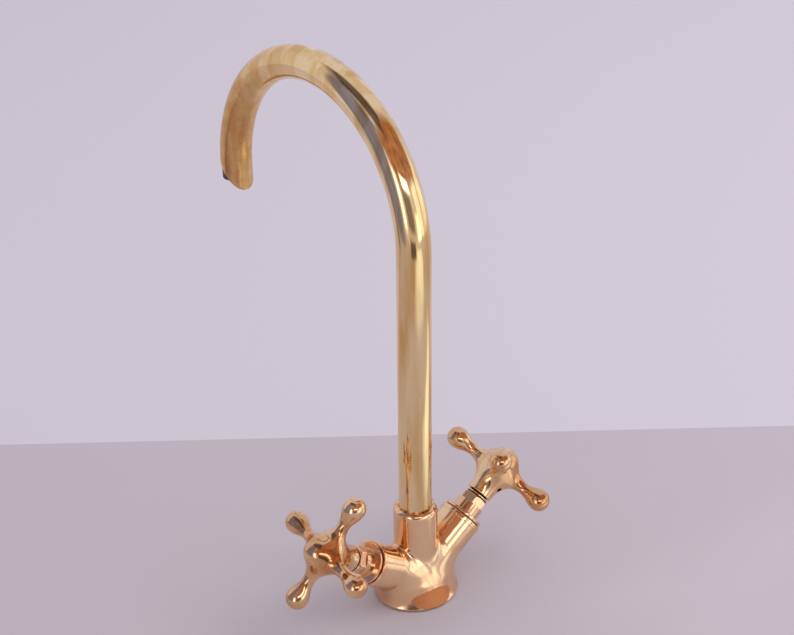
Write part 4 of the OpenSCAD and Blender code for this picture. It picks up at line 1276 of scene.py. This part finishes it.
def flat_card(name, centre, across, up, material, seen=False):
    """A flat rectangle on the stage, given by its centre and its two half sides.

    Its map runs from 0 to 1 over both sides.
    """
    corners = [centre - across - up, centre + across - up, centre + across + up, centre - across + up]
    mesh = bpy.data.meshes.new(name)
    mesh.from_pydata([tuple(corner) for corner in corners], [], [(0, 1, 2, 3)])
    mesh.uv_layers.new(name="card").data.foreach_set("uv", [0, 0, 1, 0, 1, 1, 0, 1])
    mesh.materials.append(material)
    card = bpy.data.objects.new(name, mesh)
    bpy.context.scene.collection.objects.link(card)
    card.visible_camera = seen
    card.visible_shadow = seen
    card.visible_diffuse = seen


def glow(name, tone, strength, fade=0.12, clouds=4.0, depth=0.25):
    """A card's light: it varies in clouds, and fades out over a share of the card at each edge."""
    material, tree, place = new_material(name, "UV")
    cloud = add(tree, "TexNoise", {"Vector": place, "Scale": clouds, "Detail": 4.0})
    level = add(tree, "MapRange", {"Value": cloud, "From Min": 0.3, "From Max": 0.7,
                                   "To Min": strength * (1 - depth), "To Max": strength * (1 + depth)})
    light = add(tree, "Emission", {"Color": linear(tone), "Strength": level})
    folded = add(tree, "VectorMath", {0: place, 1: (0.5, 0.5, 0)}, operation="SUBTRACT")
    folded = add(tree, "VectorMath", {0: folded}, operation="ABSOLUTE")
    sides = add(tree, "SeparateXYZ", {0: folded})
    outer = add(tree, "Math", {0: sides.outputs["X"], 1: sides.outputs["Y"]}, operation="MAXIMUM")
    there = add(tree, "MapRange", {"Value": outer, "From Min": 0.5, "From Max": 0.5 - fade})
    card = add(tree, "MixShader", {0: there, 1: add(tree, "BsdfTransparent"), 2: light})
    add(tree, "OutputMaterial", {"Surface": card})
    return material


def aimed_card(name, tone, strength, azimuth, elevation, width, height, reach=2500, **look):
    """A glowing card in a direction from the tap, reach mm away, that fills the given angles.

    The direction and the angles are in degrees.
    """
    azimuth, elevation, width, height = np.radians([azimuth, elevation, width, height]).tolist()
    mid_height = 200 * MM
    flat = math.cos(elevation)
    out = Vector((flat * math.cos(azimuth), flat * math.sin(azimuth), math.sin(elevation)))
    across = Vector((-math.sin(azimuth), math.cos(azimuth), 0))
    flat_card(name, out * (reach * MM) + Vector((0, 0, mid_height)),
              across * (reach * MM * math.tan(width / 2)),
              out.cross(across) * (reach * MM * math.tan(height / 2)),
              glow(name, tone, strength, **look))


def worktop_material(size, forward):
    """A pale matt worktop, which turns to the wall's colour behind the wall's foot."""
    material, tree, place = new_material("worktop_matt")
    cloud = add(tree, "TexNoise", {"Vector": place, "Scale": per(160), "Detail": 3.0})
    tones = {0: cloud, 6: linear(size.floor_colour, 0.95), 7: linear(size.floor_colour)}
    near = add(tree, "Mix", tones, data_type="RGBA")
    depth = add(tree, "VectorMath", {0: place, 1: tuple(forward)}, operation="DOT_PRODUCT")
    behind = add(tree, "Math", {0: depth, 1: size.wall_behind}, operation="GREATER_THAN")
    base = add(tree, "Mix", {0: behind, 6: near, 7: linear(size.wall_colour)}, data_type="RGBA")
    shader = add(tree, "BsdfPrincipled", {"Base Color": base, "Roughness": 0.7,
                                          "Specular IOR Level": 0.3})
    add(tree, "OutputMaterial", {"Surface": shader})
    return material


def place_camera(scene, size):
    """The camera, turned by its yaw and pitch and then rolled about its own view."""
    forward = Vector((
        math.sin(size.yaw) * math.cos(size.pitch),
        math.cos(size.yaw) * math.cos(size.pitch),
        -math.sin(size.pitch),
    ))
    right = Vector((math.cos(size.yaw), -math.sin(size.yaw), 0))
    up = right.cross(forward)
    turned_right = right * math.cos(size.roll) + up * math.sin(size.roll)
    turned_up = up * math.cos(size.roll) - right * math.sin(size.roll)
    camera = bpy.data.cameras.new("camera")
    camera.lens = size.lens
    camera.clip_start = 10 * MM
    holder = bpy.data.objects.new("camera", camera)
    holder.matrix_world = Matrix((turned_right, turned_up, -forward)).transposed().to_4x4()
    holder.location = (size.camera_x, size.camera_y, size.camera_z)
    scene.collection.objects.link(holder)
    scene.camera = holder


def place_cards(size):
    """The worktop, and the glowing cards that the brass reflects."""
    level = Vector((math.sin(size.wall_turn), math.cos(size.wall_turn), 0))
    beside = Vector((level.y, -level.x, 0))
    depth = (size.floor_back + size.floor_front) / 2
    under = Vector((0, 0, 0.2 * MM))
    flat_card("worktop", level * (size.floor_back - depth) - under,
              beside * size.floor_side, level * depth, worktop_material(size, level), seen=True)
    # Strength, azimuth, elevation, width and height.
    aimed_card("white_card_near", size.white_card, 1.3, 116, 4, 32, 44)
    aimed_card("white_card_far", size.white_card, 1.15, 154, 0, 36, 42)
    aimed_card("white_card_low", size.white_card, 1.8, 96, -2, 24, 20)
    aimed_card("white_card_high", size.white_card, 2.6, 66, 25, 36, 10)
    aimed_card("white_card_side", size.white_card, 2.2, 22, 6, 14, 34)
    aimed_card("pale_card", size.pale_card, 1.05, -145, 5, 55, 56)
    aimed_card("blue_card", size.blue_card, 1.0, -16, 14, 52, 86, reach=600, fade=0.07)
    aimed_card("blue_card_edge", size.blue_card, 0.45, -42, -16, 9, 20, reach=580, fade=0.3)
    aimed_card("middle_card", size.middle_card, 0.7, 56, 6, 40, 28)
    aimed_card("dark_card_low", size.dark_card, 1.1, 52, -11.5, 34, 14, reach=440)
    aimed_card("brown_card", size.brown_card, 1.1, 92, 50, 128, 60, fade=0.2, clouds=10.0, depth=0.5)
    aimed_card("dark_card_high", size.dark_card, 1.1, 20, 74, 84, 40, fade=0.2, depth=0.5)
    azimuth = math.radians(86)
    ahead = Vector((math.cos(azimuth), math.sin(azimuth), 0))

    def sunlit(name, middle, half_width, half_depth, strength, fade):
        """Sunlight on the worktop, as a level card just above it."""
        flat_card(name, middle, ahead.cross(Vector((0, 0, -half_width))), ahead * half_depth,
                  glow(name, size.white_card, strength, fade=fade))

    sunlit("sunlit_card", ahead * 0.62 + Vector((0, 0, 4 * MM)),
           half_width=0.26, half_depth=0.28, strength=1.15, fade=0.25)
    sunlit("sunlit_patch", Vector((-0.2, 0.15, 3 * MM)),
           half_width=0.17, half_depth=0.08, strength=1.2, fade=0.3)


def light_room(scene, size):
    """An even room, in its own tone where it is mirrored or seen, and a window's soft lamp."""
    matt_tone = (0.86, 0.84, 0.88, 1)
    aim = Vector((0, -0.05, 0.1))
    world = scene.world or bpy.data.worlds.new("studio")
    scene.world = world
    world.use_nodes = True
    tree = world.node_tree
    tree.nodes.clear()
    path = add(tree, "LightPath").outputs
    seen = add(tree, "Math", {0: path["Is Camera Ray"], 1: path["Is Glossy Ray"]}, operation="MAXIMUM")
    seen = add(tree, "Math", {0: seen, 1: path["Is Transmission Ray"]}, operation="MAXIMUM")
    tones = {0: seen, 6: matt_tone, 7: linear(size.room_colour)}
    tone = add(tree, "Mix", tones, data_type="RGBA")
    sky = add(tree, "Background", {"Color": tone, "Strength": 1.0})
    add(tree, "OutputWorld", {"Surface": sky})

    lamp = bpy.data.lights.new("window", "AREA")
    lamp.shape = "RECTANGLE"
    lamp.size = 1.6
    lamp.size_y = 1.4
    lamp.energy = 15
    window = bpy.data.objects.new("window", lamp)
    window.visible_glossy = False
    window.location = (-1.3, 1.0, 1.9)
    window.rotation_mode = "QUATERNION"
    window.rotation_quaternion = (window.location - aim).to_track_quat("Z", "Y")
    scene.collection.objects.link(window)


class TAP_OT_stage(bpy.types.Operator):
    """Make the worktop, the camera, the cards and the light"""

    bl_idname = "tap.stage"
    bl_label = "Stage"

    def execute(self, context):
        scene = context.scene
        place_camera(scene, scene.tap_stage)
        place_cards(scene.tap_stage)
        light_room(scene, scene.tap_stage)
        scene.view_settings.view_transform = "Standard"
        return {"FINISHED"}


class TAP_PT_panel(bpy.types.Panel):
    """Lists the tap's pieces and its stage"""

    bl_idname = "TAP_PT_panel"
    bl_label = "Kitchen tap"
    bl_space_type = "VIEW_3D"
    bl_region_type = "UI"
    bl_category = "Tap"

    def draw(self, context):
        column = self.layout.column(align=True)
        for operator in OPERATORS:
            column.operator(operator.bl_idname)
        for group in GROUPS:
            box = self.layout.box()
            for key in GROUPS[group].__annotations__:
                box.prop(getattr(context.scene, group), key)


OPERATORS = (
    TAP_OT_spout,
    TAP_OT_aerator,
    TAP_OT_body,
    TAP_OT_retaining_screw,
    TAP_OT_headwork,
    TAP_OT_handles,
    TAP_OT_inner_parts,
    TAP_OT_stage,
)
GROUPS = {
    "tap_spout": SpoutSizes,
    "tap_body": BodySizes,
    "tap_headwork": HeadworkSizes,
    "tap_handle": HandleSizes,
    "tap_colours": FinishColours,
    "tap_stage": StageSizes,
}


def register():
    """Registers the classes and puts the size groups on the scene."""
    for kind in (*GROUPS.values(), *OPERATORS, TAP_PT_panel):
        bpy.utils.register_class(kind)
    for name, kind in GROUPS.items():
        setattr(bpy.types.Scene, name, bpy.props.PointerProperty(type=kind))


def unregister():
    """Takes the size groups off the scene and removes the classes."""
    for name in GROUPS:
        delattr(bpy.types.Scene, name)
    for kind in reversed((*GROUPS.values(), *OPERATORS, TAP_PT_panel)):
        bpy.utils.unregister_class(kind)


def main():
    """Builds every piece and the stage."""
    register()
    bpy.ops.tap.stage()
    bpy.ops.tap.body()
    bpy.ops.tap.retaining_screw()
    bpy.ops.tap.spout()
    bpy.ops.tap.aerator()
    bpy.ops.tap.headwork()
    bpy.ops.tap.handles()
    bpy.ops.tap.inner_parts()


if __name__ == "__main__":
    main()
